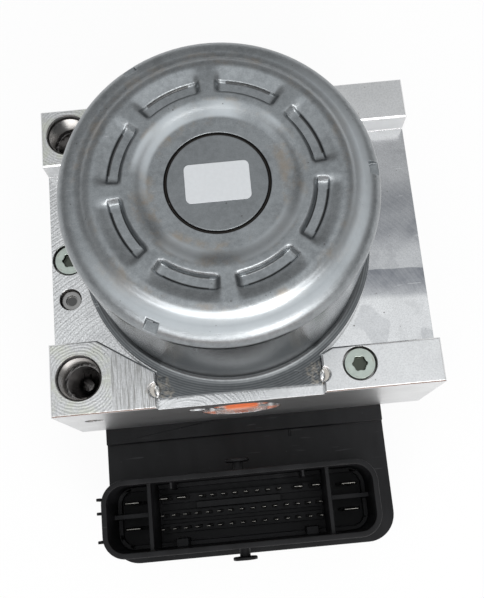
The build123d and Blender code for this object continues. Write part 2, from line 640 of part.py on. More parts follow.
# Brush gear: plate on the motor seat, two boxes, carbon brushes with their springs, two leads
BOX_S0 = COMM_R + BRUSH_GAP
Z_BRUSH = Z_SEAT + BRUSH_PLATE_T + BRUSH_BOX_WALL
LEADS = [(0, -LEAD_PITCH / 2), (0, LEAD_PITCH / 2)]
with BuildPart() as brush_holder:
    with BuildSketch(motor_plane(Z_SEAT)):
        Circle(BRUSH_PLATE_R)
        Circle(BOX_S0, mode=Mode.SUBTRACT)
    extrude(amount=BRUSH_PLATE_T)
    for side in (-1, 1):
        box = (side * (BOX_S0 + BRUSH_BOX_L / 2), 0)
        plate(motor_plane(Z_SEAT + BRUSH_PLATE_T), [box], BRUSH_BOX_L, BRUSH[0] + 2 * BRUSH_BOX_WALL,
              BRUSH[2] + 2 * BRUSH_BOX_WALL)
        well = (side * (BOX_S0 + (BRUSH_BOX_L - BRUSH_BOX_WALL) / 2), 0)
        plate(motor_plane(Z_BRUSH - RUN), [well], BRUSH_BOX_L - BRUSH_BOX_WALL, BRUSH[0] + 2 * RUN,
              BRUSH[2] + 2 * RUN, mode=Mode.SUBTRACT)
    plate(spot(LEAD_X, LEAD_Y, Z_SEAT), [(0, 0)], *LEAD_SOCKET)
    plate(spot(LEAD_X, LEAD_Y, Z_SEAT), LEADS, LEAD[0] + 2 * PRESS, LEAD[1] + 2 * PRESS, LEAD_DEPTH,
          mode=Mode.SUBTRACT)
save(brush_holder, "brush_holder")

for name, side in (("left", -1), ("right", 1)):
    with BuildPart() as brush:
        plate(motor_plane(Z_BRUSH), [(side * (COMM_R + RUN + BRUSH[1] / 2), 0)], BRUSH[1], BRUSH[0], BRUSH[2])
    save(brush, f"brush_{name}")
    spring_s0 = COMM_R + RUN + BRUSH[1]
    spring_s1 = BOX_S0 + BRUSH_BOX_L - BRUSH_BOX_WALL
    seat = Plane(origin=(MOTOR_X + side * spring_s0, MOTOR_Y, Z_BRUSH + BRUSH[2] / 2), z_dir=(side, 0, 0))
    with BuildPart() as brush_spring:
        coil_spring(seat, *BRUSH_SPRING, spring_s1 - spring_s0)
    save(brush_spring, f"brush_spring_{name}")

with BuildPart() as motor_leads:
    plate(spot(LEAD_X, LEAD_Y, Z_BOARD), LEADS, *LEAD, Z_SEAT + LEAD_DEPTH - Z_BOARD)
save(motor_leads, "motor_leads")

# Pump elements: sleeve, sprung piston and plug, one towards the front and one towards the rear
for name, side in (("front", -1), ("rear", 1)):
    face = BLOCK_D / 2 - side * MOTOR_DY
    with BuildPart() as pump_sleeve:
        disc(pump_plane(side, SLEEVE_S0), SLEEVE_R, SLEEVE_S1 + SLEEVE_END - SLEEVE_S0)
        disc(pump_plane(side, SLEEVE_S0), PISTON_R + RUN, SLEEVE_S1 - SLEEVE_S0, mode=Mode.SUBTRACT)
        disc(pump_plane(side, SLEEVE_S1), SLEEVE_HOLE_R, SLEEVE_END, mode=Mode.SUBTRACT)
    save(pump_sleeve, f"pump_sleeve_{name}")
    with BuildPart() as pump_piston:
        disc(pump_plane(side, PISTON_S0), PISTON_R, PISTON_L)
        fillet(pump_piston.edges().filter_by(GeomType.CIRCLE), radius=PISTON_EDGE)
    save(pump_piston, f"pump_piston_{name}")
    with BuildPart() as pump_spring:
        spring_s0 = PISTON_S0 + PISTON_L + PUMP_STROKE + PLAY / 3
        coil_spring(pump_plane(side, spring_s0), *PUMP_SPRING, SLEEVE_S1 - spring_s0)
    save(pump_spring, f"pump_spring_{name}")
    with BuildPart() as pump_plug:
        plug_s1 = face - PLUG_SINK
        disc(pump_plane(side, plug_s1 - PLUG_L), PLUG_R, PLUG_L)
        disc(pump_plane(side, SLEEVE_S1 + SLEEVE_END), PLUG_STEM_R, plug_s1 - PLUG_L - SLEEVE_S1 - SLEEVE_END)
        disc(pump_plane(side, plug_s1), PLUG_RECESS[0], -PLUG_RECESS[1], mode=Mode.SUBTRACT)
    save(pump_plug, f"pump_plug_{name}")

# Accumulators: piston, spring and cap, upright in the underside of the block
for name, dx in (("left", -ACC_DX), ("right", ACC_DX)):
    bore_floor = spot(MOTOR_X + dx, ACC_DY, Z_BLOCK)
    with BuildPart() as accumulator_piston:
        disc(bore_floor.offset(ACC_BORE_H - PLAY), ACC_R - RUN, -ACC_PISTON_H)
        disc(bore_floor.offset(ACC_BORE_H - PLAY - ACC_PISTON_H), ACC_R - ACC_PISTON_T,
             ACC_PISTON_H - ACC_PISTON_T, mode=Mode.SUBTRACT)
    save(accumulator_piston, f"accumulator_piston_{name}")
    with BuildPart() as accumulator_cap:
        disc(bore_floor, ACC_R - PRESS, ACC_CAP_T)
        disc(bore_floor, ACC_VENT_R, ACC_CAP_T, mode=Mode.SUBTRACT)
    save(accumulator_cap, f"accumulator_cap_{name}")
    with BuildPart() as accumulator_spring:
        coil_spring(bore_floor.offset(ACC_CAP_T), *ACC_SPRING, ACC_BORE_H - PLAY - ACC_PISTON_T - ACC_CAP_T)
    save(accumulator_spring, f"accumulator_spring_{name}")

# Solenoid valves: turned body with a closed dome that holds the plunger
for row, dy in (("inlet", VALVE_DY[0]), ("outlet", VALVE_DY[1])):
    for number, dx in enumerate(VALVE_DX, 1):
        axis = Axis((MOTOR_X + dx, BLOCK_Y + dy, 0), (0, 0, 1))
        dome_bottom = Z_BLOCK - DOME_DROP
        bore_r = DOME_R - DOME_WALL
        body_top = Z_BLOCK + VALVE_COLLAR[1] + VALVE_BODY[1]
        plunger_z = dome_bottom + DOME_WALL + PLUNGER_PLAY
        bore_top = plunger_z + PLUNGER_L + PLUNGER_PLAY
        with BuildPart() as valve:
            with BuildSketch(radial_plane(MOTOR_X + dx, BLOCK_Y + dy)):
                with BuildLine():
                    Polyline(
                        (0, dome_bottom), (DOME_R, dome_bottom), (DOME_R, Z_BLOCK),
                        (VALVE_COLLAR[0], Z_BLOCK), (VALVE_COLLAR[0], Z_BLOCK + VALVE_COLLAR[1]),
                        (VALVE_BODY[0], Z_BLOCK + VALVE_COLLAR[1]), (VALVE_BODY[0], body_top),
                        (VALVE_BORE_R, body_top), (VALVE_BORE_R, bore_top), (bore_r, bore_top),
                        (bore_r, dome_bottom + DOME_WALL), (0, dome_bottom + DOME_WALL), close=True,
                    )
                make_face()
            revolve(axis=axis)
        save(valve, f"{row}_valve_{number}")
        with BuildPart() as plunger:
            disc(spot(MOTOR_X + dx, dy, plunger_z), bore_r - RUN, PLUNGER_L)
        save(plunger, f"{row}_plunger_{number}")

with BuildPart() as valve_coils:
    coil_top = Z_BLOCK - PLAY
    for dy in VALVE_DY:
        for dx in VALVE_DX:
            with BuildSketch(spot(MOTOR_X + dx, dy, coil_top - COIL_H)):
                Circle(COIL_R)
                Circle(DOME_R + PLAY, mode=Mode.SUBTRACT)
            extrude(amount=COIL_H)
            plate(spot(MOTOR_X + dx, dy, Z_BOARD), [(-COIL_LEG_DX, 0), (COIL_LEG_DX, 0)],
                  COIL_LEG, COIL_LEG, coil_top - COIL_H - Z_BOARD)
save(valve_coils, "valve_coils")


# Controller housing: open below, with a window under the block and the connector shroud in front
def ecu_outline(inset):
    """The housing's outline, this far inside its outer face, with wide corners at the front."""
    x0 = ECU_X0 + inset
    x1 = ECU_X1 - inset
    y0 = ECU_FRONT_Y + inset
    y1 = ECU_BACK_Y - inset
    with BuildLine() as edge:
        Polyline((x0, y0), (x1, y0), (x1, y1), (x0, y1), close=True)
    make_face(edge.edges())
    return [(x0, y0, ECU_CORNER - inset), (x1, y0, ECU_CORNER - inset),
            (x1, y1, ECU_REAR_CORNER - inset), (x0, y1, ECU_REAR_CORNER - inset)]


def shroud_outline(inset):
    """The shroud's rounded rectangle, this far inside its outer face."""
    with Locations((SHROUD_X, SHROUD_CY)):
        RectangleRounded(SHROUD_W - 2 * inset, SHROUD_D - 2 * inset, SHROUD_R - inset)


def window_outline(grow):
    """The window under the block, grown by this much all round."""
    with Locations((WINDOW_DX, BLOCK_Y)):
        RectangleRounded(2 * (WINDOW_X + grow), 2 * (WINDOW_Y + grow), WINDOW_CORNER + grow)


with BuildPart() as ecu_housing:
    with BuildSketch(Plane.XY.offset(COVER_T)) as shell:
        round_corners(shell, ecu_outline(0))
    extrude(amount=ECU_H - COVER_T)
    # Lower shelf in front of the flange
    shelf_y = (ECU_FRONT_Y + BLOCK_Y - FLANGE_REACH) / 2
    shelf_d = BLOCK_Y - FLANGE_REACH - ECU_FRONT_Y
    plate(Plane.XY.offset(Z_SHELF), [(ECU_MID_X, shelf_y)], ECU_W, shelf_d, FLANGE_STEP, mode=Mode.SUBTRACT)
    for x, dy, top in SCREWS:
        disc(spot(x, dy, ECU_H), EAR_R, -SCREW_BOSS_H)
    with BuildSketch(Plane.XY.offset(COVER_T)) as room:
        round_corners(room, ecu_outline(ECU_WALL))
    extrude(amount=Z_ROOF - COVER_T, mode=Mode.SUBTRACT)
    for x, dy, top in SCREWS:
        disc(spot(x, dy, ECU_H), EAR_R, -SCREW_BOSS_H)
        disc(spot(x, dy, ECU_H), SCREW_R + PRESS, -SCREW_GRIP, mode=Mode.SUBTRACT)
    with BuildSketch(Plane.XY.offset(Z_ROOF)):
        window_outline(0)
    extrude(amount=ECU_H - Z_ROOF, mode=Mode.SUBTRACT)
    with BuildSketch(Plane.XY.offset(ECU_H)):
        window_outline(GASKET_RIM + GASKET_W)
        with BuildSketch(mode=Mode.PRIVATE) as inner:
            window_outline(GASKET_RIM)
        add(inner.sketch, mode=Mode.SUBTRACT)
    extrude(amount=-GASKET_T, mode=Mode.SUBTRACT)
    # Shroud with its window for the terminal carrier, dividers and low cross ribs
    with BuildSketch(Plane.XY.offset(Z_SHELF)):
        shroud_outline(0)
    extrude(amount=SHROUD_TOP - Z_SHELF)
    with BuildSketch(Plane.XY.offset(Z_SHELF)):
        shroud_outline(SHROUD_WALL)
    extrude(amount=SHROUD_TOP - Z_SHELF, mode=Mode.SUBTRACT)
    with BuildSketch(Plane.XY.offset(Z_ROOF)):
        shroud_outline(SHROUD_WALL + SILL)
    extrude(amount=ECU_WALL, mode=Mode.SUBTRACT)
    inner_d = SHROUD_D - 2 * SHROUD_WALL
    plate(Plane.XY.offset(Z_ROOF), [(DIVIDER_X0, SHROUD_CY), (DIVIDER_X1, SHROUD_CY)], DIVIDER_T,
          inner_d + SHROUD_WALL, SHROUD_TOP - DIVIDER_DROP - Z_ROOF)
    bay_x0 = SHROUD_X - SHROUD_W / 2 + SHROUD_WALL / 2
    bay_x1 = SHROUD_X + SHROUD_W / 2 - SHROUD_WALL / 2
    cross_y = BLOCK_Y - (BLADE_Y[0] + BLADE_Y[1]) / 2
    plate(Plane.XY.offset(Z_ROOF), [((bay_x0 + DIVIDER_X0) / 2, cross_y)], DIVIDER_X0 - bay_x0, DIVIDER_T, CROSS_RIB_H)
    plate(Plane.XY.offset(Z_ROOF), [((bay_x1 + DIVIDER_X1) / 2, cross_y)], bay_x1 - DIVIDER_X1, DIVIDER_T, CROSS_RIB_H)
    # Guide ribs and coding steps in the middle bay
    rear_wall = SHROUD_CY + SHROUD_D / 2 - SHROUD_WALL
    front_wall = SHROUD_CY - SHROUD_D / 2 + SHROUD_WALL
    plate(Plane.XY.offset(Z_ROOF), [(x, rear_wall - GUIDE[1] / 2) for x in GUIDE_X], *GUIDE,
          SHROUD_TOP - GUIDE_DROP - Z_ROOF)
    plate(Plane.XY.offset(Z_ROOF), [(x, front_wall + KEY[1] / 2) for x in KEY_X], *KEY)
    # Lever posts with round heads and the side ribs
    for side in (-1, 1):
        wall = Plane(origin=(SHROUD_X, SHROUD_CY + side * SHROUD_D / 2, SHROUD_TOP - POST_DROP),
                     x_dir=(1, 0, 0), z_dir=(0, side, 0))
        disc(wall.offset(-SHROUD_WALL / 2), POST_R, SHROUD_WALL / 2 + POST_REACH)
        disc(wall.offset(POST_REACH - POST_HEAD_T), POST_HEAD_R, POST_HEAD_T)
    ribs = [(SHROUD_X - SHROUD_W / 2 - SIDE_RIB_REACH / 2, BLOCK_Y - y) for y in SIDE_RIB_Y]
    plate(Plane.XY.offset(Z_ROOF), ribs, SIDE_RIB_REACH, SIDE_RIB_T, SHROUD_TOP - SIDE_RIB_DROP - Z_ROOF)
    plate(Plane.XY.offset(Z_SHELF), [(SPLIT_RIB_X, BLOCK_Y - FLANGE_REACH - SPLIT_RIB[1] / 2)], *SPLIT_RIB)
save(ecu_housing, "ecu_housing")

with BuildPart() as ecu_gasket:
    with BuildSketch(Plane.XY.offset(ECU_H)):
        window_outline(GASKET_RIM + GASKET_W - PRESS)
        with BuildSketch(mode=Mode.PRIVATE) as gasket_inner:
            window_outline(GASKET_RIM + PRESS)
        add(gasket_inner.sketch, mode=Mode.SUBTRACT)
    extrude(amount=-GASKET_T)
save(ecu_gasket, "ecu_gasket")

BOARD_POSTS = [(ECU_X0 + POST_INSET, ECU_FRONT_Y + POST_INSET), (ECU_X1 - POST_INSET, ECU_FRONT_Y + POST_INSET),
               (ECU_X1 - POST_INSET, ECU_BACK_Y - POST_INSET), (ECU_X0 + POST_INSET, ECU_BACK_Y - POST_INSET),
               (ECU_X0 + POST_INSET, ECU_MID_Y), (ECU_X1 - POST_INSET, ECU_MID_Y)]
with BuildPart() as ecu_cover:
    with BuildSketch(Plane.XY) as base:
        round_corners(base, ecu_outline(0))
    extrude(amount=COVER_T)
    with BuildSketch(Plane.XY.offset(COVER_T)) as lip:
        round_corners(lip, ecu_outline(ECU_WALL + RUN))
    extrude(amount=COVER_LIP)
    with BuildSketch(Plane.XY.offset(COVER_T)) as lip_room:
        round_corners(lip_room, ecu_outline(ECU_WALL + RUN + COVER_LIP_T))
    extrude(amount=COVER_LIP, mode=Mode.SUBTRACT)
    with BuildSketch(Plane.XY.offset(COVER_T)):
        with Locations(*BOARD_POSTS):
            Circle(BOARD_POST_R)
    extrude(amount=BOARD_Z - COVER_T)
save(ecu_cover, "ecu_cover")

with BuildPart() as circuit_board:
    with BuildSketch(Plane.XY.offset(BOARD_Z)) as outline:
        round_corners(outline, ecu_outline(ECU_WALL + BOARD_GAP))
    extrude(amount=BOARD_T)
    for x, dy, size in CHIPS:
        plate(spot(x, dy, Z_BOARD), [(0, 0)], size, size, CHIP_T)
    for x, dy in CAPACITORS:
        disc(spot(x, dy, Z_BOARD), *CAPACITOR)
save(circuit_board, "circuit_board")


# Terminals, pushed through the carrier down to the board
def terminal_grid(places, size, grow=0.0):
    """Rectangles at the terminals' places."""
    with Locations(*places):
        Rectangle(size[0] + 2 * grow, size[1] + 2 * grow)


row_x0 = SHROUD_X - (ROW_COUNT - 1) * PITCH / 2
top_x0 = SHROUD_X - (TOP_ROW_COUNT - 1) * PITCH / 2
SMALL = [(top_x0 + i * PITCH, BLOCK_Y - ROW_Y[0]) for i in range(TOP_ROW_COUNT)]
SMALL += [(row_x0 + i * PITCH, BLOCK_Y - y) for y in ROW_Y[1:] for i in range(ROW_COUNT)]
MEDIUM = [(x, BLOCK_Y - ROW_Y[0]) for x in MEDIUM_X]
BLADES = [(x, BLOCK_Y - y) for x in BLADE_X for y in BLADE_Y]
for name, places, size in (
    ("signal_terminals", SMALL, SMALL_T),
    ("power_terminals", MEDIUM, MEDIUM_T),
    ("supply_blades", BLADES, BLADE_T),
):
    with BuildPart() as terminals:
        with BuildSketch(Plane.XY.offset(Z_BOARD)):
            terminal_grid(places, size)
        extrude(amount=TIP_Z - Z_BOARD)
    save(terminals, name)

with BuildPart() as terminal_carrier:
    with BuildSketch(Plane.XY.offset(Z_ROOF)):
        shroud_outline(SHROUD_WALL + SILL - CARRIER_LAP)
    extrude(amount=-CARRIER_T)
    for y in ROW_Y:
        plate(Plane.XY.offset(Z_ROOF), [(SHROUD_X, BLOCK_Y - y)], *ROW_RIDGE)
    plate(Plane.XY.offset(Z_ROOF), [((BAR_X[0] + BAR_X[1]) / 2, BLOCK_Y - (ROW_Y[0] + ROW_Y[1]) / 2)],
          BAR_X[1] - BAR_X[0], *BAR)
    with BuildSketch(Plane.XY.offset(Z_ROOF - CARRIER_T)):
        terminal_grid(SMALL, SMALL_T, PRESS)
        terminal_grid(MEDIUM, MEDIUM_T, PRESS)
        terminal_grid(BLADES, BLADE_T, PRESS)
    extrude(amount=CARRIER_T + ROW_RIDGE[2], mode=Mode.SUBTRACT)
save(terminal_carrier, "terminal_carrier")
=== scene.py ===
"""Looks of the hydraulic brake control module: motor can, machined block and moulded controller.

The file is laid out as a Blender add-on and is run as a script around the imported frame.
Lengths in the code are millimetres in the part's frame, and MM turns them into metres.
"""
import json
from functools import reduce
from math import atan2, degrees, hypot, pi, radians

import bmesh
import bpy
from bpy.props import FloatProperty, FloatVectorProperty, IntProperty, PointerProperty
from mathutils import Matrix, Vector


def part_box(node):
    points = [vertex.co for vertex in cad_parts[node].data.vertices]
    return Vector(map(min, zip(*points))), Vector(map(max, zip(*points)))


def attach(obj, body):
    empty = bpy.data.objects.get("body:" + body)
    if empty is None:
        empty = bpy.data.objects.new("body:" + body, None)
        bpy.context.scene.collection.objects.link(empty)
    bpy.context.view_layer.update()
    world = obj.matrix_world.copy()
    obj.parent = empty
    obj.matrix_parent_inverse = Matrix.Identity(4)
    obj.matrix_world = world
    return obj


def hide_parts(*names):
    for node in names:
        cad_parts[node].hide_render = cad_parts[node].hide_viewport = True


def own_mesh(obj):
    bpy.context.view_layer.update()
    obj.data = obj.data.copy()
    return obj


bl_info = {
    "name": "Brake Control Module",
    "version": (1, 0, 0),
    "blender": (4, 5, 0),
    "location": "View3D > Sidebar > Brake Module",
    "description": "Dresses the frame of a hydraulic brake control module for rendering",
    "category": "Object",
}

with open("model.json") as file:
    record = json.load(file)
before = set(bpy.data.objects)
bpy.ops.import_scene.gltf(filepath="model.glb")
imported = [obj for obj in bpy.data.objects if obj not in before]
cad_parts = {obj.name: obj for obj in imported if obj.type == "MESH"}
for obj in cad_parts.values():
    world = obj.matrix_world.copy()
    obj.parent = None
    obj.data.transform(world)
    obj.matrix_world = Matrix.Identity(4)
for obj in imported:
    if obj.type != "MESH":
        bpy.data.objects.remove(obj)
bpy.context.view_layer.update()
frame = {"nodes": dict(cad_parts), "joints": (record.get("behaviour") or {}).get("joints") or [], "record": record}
NODES = frame["nodes"]
MM = 0.001

# Places read from the frame, in millimetres
BLOCK_LOW, BLOCK_HIGH = (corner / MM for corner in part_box("valve_block"))
CAN_LOW, CAN_HIGH = (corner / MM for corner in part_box("motor_can"))
CASE_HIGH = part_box("ecu_housing")[1] / MM
ARMATURE_LOW, ARMATURE_HIGH = (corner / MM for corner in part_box("armature_core"))
MOTOR_X = (ARMATURE_LOW.x + ARMATURE_HIGH.x) / 2
MOTOR_Y = (ARMATURE_LOW.y + ARMATURE_HIGH.y) / 2
BLOCK_Y = (BLOCK_LOW.y + BLOCK_HIGH.y) / 2
Z_SEAT = CAN_LOW.z
Z_CREST = CAN_HIGH.z
Z_RAIL = BLOCK_HIGH.z

# The milled middle of the block lies this far below its rails
Z_MID = Z_RAIL - 7.4

# Pressed pockets of the can: their number and the turn of the first spoke in degrees
POCKETS = 8
TURN = 1.0

# Connector shroud: its centre across, how far ahead of the block's centre it is, and its inner half sizes
SHROUD_X = -4.95
SHROUD_AHEAD = 68.35
SHROUD_HALF_X = 36.15
SHROUD_HALF_Y = 8.85

# Holes and punch marks of the block: their place along X and their distance from the block's centre along Y.
# The case screws have the height of their seat too
PORTS = ((-42.6, -32.7), (-42.6, 34.7))
SCREWS = ((28.9, -35.6, Z_RAIL), (28.9, 35.6, Z_RAIL), (-45.3, 1.3, Z_MID))
PLUGGED = (-45.3, -9.9)
PUNCHES = ((-23.2, -37.5), (19.3, -37.5), (-23.2, 37.5), (19.3, 37.5))


# Shader maths
class Reading:
    """A number, colour or vector read from a node; arithmetic on numbers adds Math nodes."""

    def __init__(self, finish, socket):
        self.finish = finish
        self.socket = socket

    def maths(self, operation, *values):
        return self.finish.node("ShaderNodeMath", {"operation": operation}, dict(enumerate(values)))

    def __add__(self, other):
        return self.maths("ADD", self, other)

    def __radd__(self, other):
        return self.maths("ADD", other, self)

    def __sub__(self, other):
        return self.maths("SUBTRACT", self, other)

    def __rsub__(self, other):
        return self.maths("SUBTRACT", other, self)

    def __mul__(self, other):
        return self.maths("MULTIPLY", self, other)

    def __rmul__(self, other):
        return self.maths("MULTIPLY", other, self)

    def __truediv__(self, other):
        return self.maths("DIVIDE", self, other)

    def __abs__(self):
        return self.maths("ABSOLUTE", self)

    def sine(self):
        return self.maths("SINE", self)

    def waves(self, pitch):
        """A sine wave along the number, from -1 to 1."""
        return (self * (2 * pi / pitch)).sine()

    def either(self, other):
        return self.maths("MAXIMUM", self, other)

    def rising(self, low, high):
        """0 below low, 1 above high and a smooth step between them."""
        return self.finish.node(
            "ShaderNodeMapRange", {"interpolation_type": "SMOOTHSTEP", "clamp": True},
            {"Value": self, "From Min": low, "From Max": high})

    def falling(self, low, high):
        return 1 - self.rising(low, high)

    def inside(self, low, high, soft):
        """1 between low and high, falling to 0 over soft outside them."""
        return self.rising(low - soft, low) * self.falling(high, high + soft)


def strongest(*masks):
    """The largest of several masks at each place."""
    return reduce(Reading.either, masks)


def toned(colour, factor):
    """A colour made lighter or darker by a factor."""
    return [c * factor for c in colour]


class Finish:
    """A procedural material or world; its maker chains nodes and ends with shade() or close()."""

    def __init__(self, name, store="materials", coords="Object"):
        self.material = getattr(bpy.data, store).new(name)
        self.material.use_nodes = True
        self.tree = self.material.node_tree
        self.tree.nodes.clear()
        self.coords = self.node("ShaderNodeTexCoord", output=coords)

    def node(self, kind, settings=None, sockets=None, output=0):
        """Add a node: its settings come first, then the values or links of its sockets."""
        node = self.tree.nodes.new(kind)
        for key, value in (settings or {}).items():
            setattr(node, key, value)
        for key, value in (sockets or {}).items():
            if isinstance(value, Reading):
                self.tree.links.new(value.socket, node.inputs[key])
            else:
                node.inputs[key].default_value = value
        return Reading(self, node.outputs[output])

    def placed(self, centre=(0, 0, 0), turn=0.0, scale=(1, 1, 1)):
        """Object coordinates about a centre in millimetres, turned about Z and stretched."""
        shifted = self.node("ShaderNodeVectorMath", {"operation": "SUBTRACT"},
                            {0: self.coords, 1: [c * MM for c in centre]})
        return self.node("ShaderNodeMapping", None,
                         {"Vector": shifted, "Rotation": (0, 0, radians(turn)), "Scale": scale})

    def axes(self, vector=None):
        """The three numbers of a vector in metres."""
        split = self.node("ShaderNodeSeparateXYZ", None, {"Vector": vector or self.coords})
        outputs = split.socket.node.outputs
        return [Reading(self, outputs[i]) for i in range(3)]

    def noise(self, size, vector=None, detail=3.0, rough=0.55):
        """Noise from 0 to 1 with features of about this size in millimetres."""
        return self.node("ShaderNodeTexNoise", None,
                         {"Vector": vector or self.coords, "Scale": 1.0 / (size * MM), "Detail": detail,
                          "Roughness": rough})

    def cells(self, size, vector):
        """Distance from the points of a Voronoi pattern, in parts of the cell size."""
        return self.node("ShaderNodeTexVoronoi", None, {"Vector": vector, "Scale": 1.0 / (size * MM)})

    def ring_distance(self, centre):
        """Distance in millimetres from an upright axis through the centre."""
        x, y, _ = self.axes(self.placed(centre))
        flat = self.node("ShaderNodeCombineXYZ", None, {0: x, 1: y})
        return self.node("ShaderNodeVectorMath", {"operation": "LENGTH"}, {0: flat}, output="Value") / MM

    def block_distance(self, x, dy):
        """Distance in millimetres from an upright axis that is dy along Y from the block's centre."""
        return self.ring_distance((x, BLOCK_Y + dy, 0))

    def facing(self):
        """The three numbers of the surface's own direction."""
        return self.axes(self.node("ShaderNodeTexCoord", output="Normal"))

    def colour(self, value):
        """A colour read from a node as it is, or three numbers with an alpha of 1."""
        return value if isinstance(value, Reading) else (*value, 1.0)

    def blend(self, share, first, second):
        """A colour between two colours, which are sockets 6 and 7 of the Mix node."""
        return self.node("ShaderNodeMix", {"data_type": "RGBA"},
                         {0: share, 6: self.colour(first), 7: self.colour(second)}, output=2)

    def scratches(self, length, turn, share, seed=0.0):
        """Thin straight scratches at this angle; a larger share makes more of them."""
        drawn = self.placed((seed, seed, 0), turn, (1.0 / length, 1.0, 1.0))
        field = self.noise(0.55, drawn, detail=1.0, rough=0.3)
        gate = self.noise(14.0, self.placed((seed, 0, seed), turn), detail=1.0)
        return field.rising(0.72 - share, 0.745 - share) * gate.rising(0.50, 0.62)

    def relief(self, height, depth, strength, after=None):
        """A Bump node; depth is in millimetres."""
        sockets = {"Height": height, "Distance": depth * MM, "Strength": strength}
        if after is not None:
            sockets["Normal"] = after
        return self.node("ShaderNodeBump", None, sockets)

    def shade(self, colour, roughness, metallic, relief, specular=0.5):
        """Close the material with a Principled shader."""
        surface = self.node("ShaderNodeBsdfPrincipled", None,
                            {"Base Color": self.colour(colour), "Roughness": roughness,
                             "Metallic": metallic, "Normal": relief, "Specular IOR Level": specular})
        self.close(surface)
        return self.material

    def close(self, surface, kind="ShaderNodeOutputMaterial"):
        output = self.tree.nodes.new(kind)
        self.tree.links.new(surface.socket, output.inputs["Surface"])


# Finishes
def zinc_plated_steel(colour):
    """Drawn steel sheet with a grey zinc coat: clouds, grain, pits, a few scratches and warm stains."""
    f = Finish("zinc_plated_steel")
    x, y, z = f.axes()
    _, ny, nz = f.facing()
    radius = f.ring_distance((MOTOR_X, MOTOR_Y, 0))
    clouds = f.noise(8.0, detail=4.0)
    mottle = f.noise(1.3, f.placed((3, 1, 0)), detail=4.0, rough=0.65)
    grain = f.noise(0.30, detail=3.0, rough=0.7)
    pits = f.cells(1.9, f.placed(turn=20)).falling(0.05, 0.12) * f.noise(5.0).rising(0.52, 0.64)
    marks = strongest(f.scratches(12, 28, -0.02), f.scratches(14, -52, -0.02, 31),
                      f.scratches(11, 80, -0.03, 57))
    on_top = z.rising((Z_CREST - 4.5) * MM, (Z_CREST - 3.0) * MM)
    # Brown stains where the sheet was drawn hardest, and a dull film on the hub
    drawn = radius.inside(14.5, 18.5, 1.6).either(radius.inside(28.0, 31.0, 1.4) * 0.8) * on_top
    stain = f.noise(5.5, f.placed((8, 3, 0)), detail=5.0, rough=0.7).rising(0.47, 0.70) * drawn
    hub = radius.falling(10.9, 11.1) * on_top
    # Turned foot ring and the flange below the wall: real turned lines, darkened with painted shade at the wall's
    # foot
    foot = z.falling((Z_SEAT + 2.6) * MM, (Z_SEAT + 3.4) * MM)
    turned = radius.waves(0.62) * 0.5 + 0.5
    base = f.blend(clouds.rising(0.3, 0.7), toned(colour, 0.84), toned(colour, 1.08))
    base = f.blend(mottle.rising(0.35, 0.65) * 0.55, base, toned(colour, 1.32))
    base = f.blend(grain.rising(0.35, 0.70) * 0.35, base, toned(colour, 0.62))
    base = f.blend(hub * 0.45, base, toned(colour, 0.66))
    base = f.blend(stain * 0.60, base, (0.33, 0.275, 0.215))
    # Painted shade darkens the foot ring and flange; the turned lines vary it
    base = f.blend(foot * (0.55 + turned * 0.35), base, toned(colour, 0.28))
    # Painted shade in the hub groove and along the pocket edges
    base = f.blend(crease_shade(f, radius, x, y) * on_top, base, (0.03, 0.027, 0.025))
    # Painted highlight along the front and right of the shoulder, which face the light, and painted highlight
    # patches on the slope inside the ring
    sides = y.falling((MOTOR_Y - 30) * MM, (MOTOR_Y - 10) * MM).either(
        x.rising((MOTOR_X + 14) * MM, (MOTOR_X + 31) * MM) * 0.9)
    patches = f.noise(16.0, f.placed((60, 20, 0)), detail=1.0).rising(0.42, 0.60)
    painted_highlight = (sides * radius.inside(29.5, 32.8, 1.2) * on_top).either(
        radius.inside(15.8, 18.4, 0.9) * patches * on_top)
    base = f.blend(painted_highlight * (0.6 + clouds * 0.5), base, toned(colour, 1.8))
    base = f.blend(pits * 0.7, base, (0.06, 0.05, 0.045))
    base = f.blend(marks * 0.30, base, (0.52, 0.53, 0.54))
    hammered = staked(f, 4.6) * foot * nz.rising(0.6, 0.9)
    smears = f.noise(0.9, f.placed((4, 4, 0)), detail=3.0).rising(0.40, 0.60)
    base = f.blend(hammered * smears * 0.8, base, (0.30, 0.28, 0.25))
    # The wall is smoother than the top, and its front is darkened as a painted reflection of the dark room
    wall = abs(nz).falling(0.15, 0.45) * z.falling((Z_CREST - 3.5) * MM, (Z_CREST - 2.5) * MM)
    base = f.blend(wall * ny.falling(-0.92, -0.60) * 0.6, base, toned(colour, 0.40))
    rough = 0.26 + clouds * 0.10 + grain * 0.10 + hub * 0.08 - marks * 0.10 + foot * 0.04 - wall * 0.16
    relief = f.relief(grain * 0.5 + mottle * 0.9 + clouds * 1.6 - pits - marks * 0.3, 0.045, 0.6)
    relief = f.relief(staked(f, 4.1) * foot * f.noise(0.7, detail=3.0), 0.25, 0.8, relief)
    return f.shade(base, rough, 1.0, relief)


def crease_shade(f, radius, x, y):
    """Painted shade in the groove round the hub disc and along the edges of the pressed pockets; it also darkens a
    bright shading line at the pockets' outer step.
    """
    angle = y.maths("ARCTAN2", y - MOTOR_Y * MM, x - MOTOR_X * MM)
    pocket = (angle * POCKETS + (pi / 2 - radians(TURN) * POCKETS)).sine().falling(0.10, 0.20)
    edges = (radius.inside(21.36, 21.58, 0.10) * 0.8).either(radius.inside(23.50, 23.86, 0.14))
    return radius.inside(11.05, 11.55, 0.08).either(edges * pocket * 0.75)


def staked(f, reach):
    """1 near the punch marks that hold the flange, falling to 0 with a ragged edge."""
    ragged = f.noise(1.6, detail=3.0) * 3.0
    near = [(f.block_distance(*punch) + ragged).falling(reach + 0.5, reach + 1.5) for punch in PUNCHES]
    return strongest(*near)


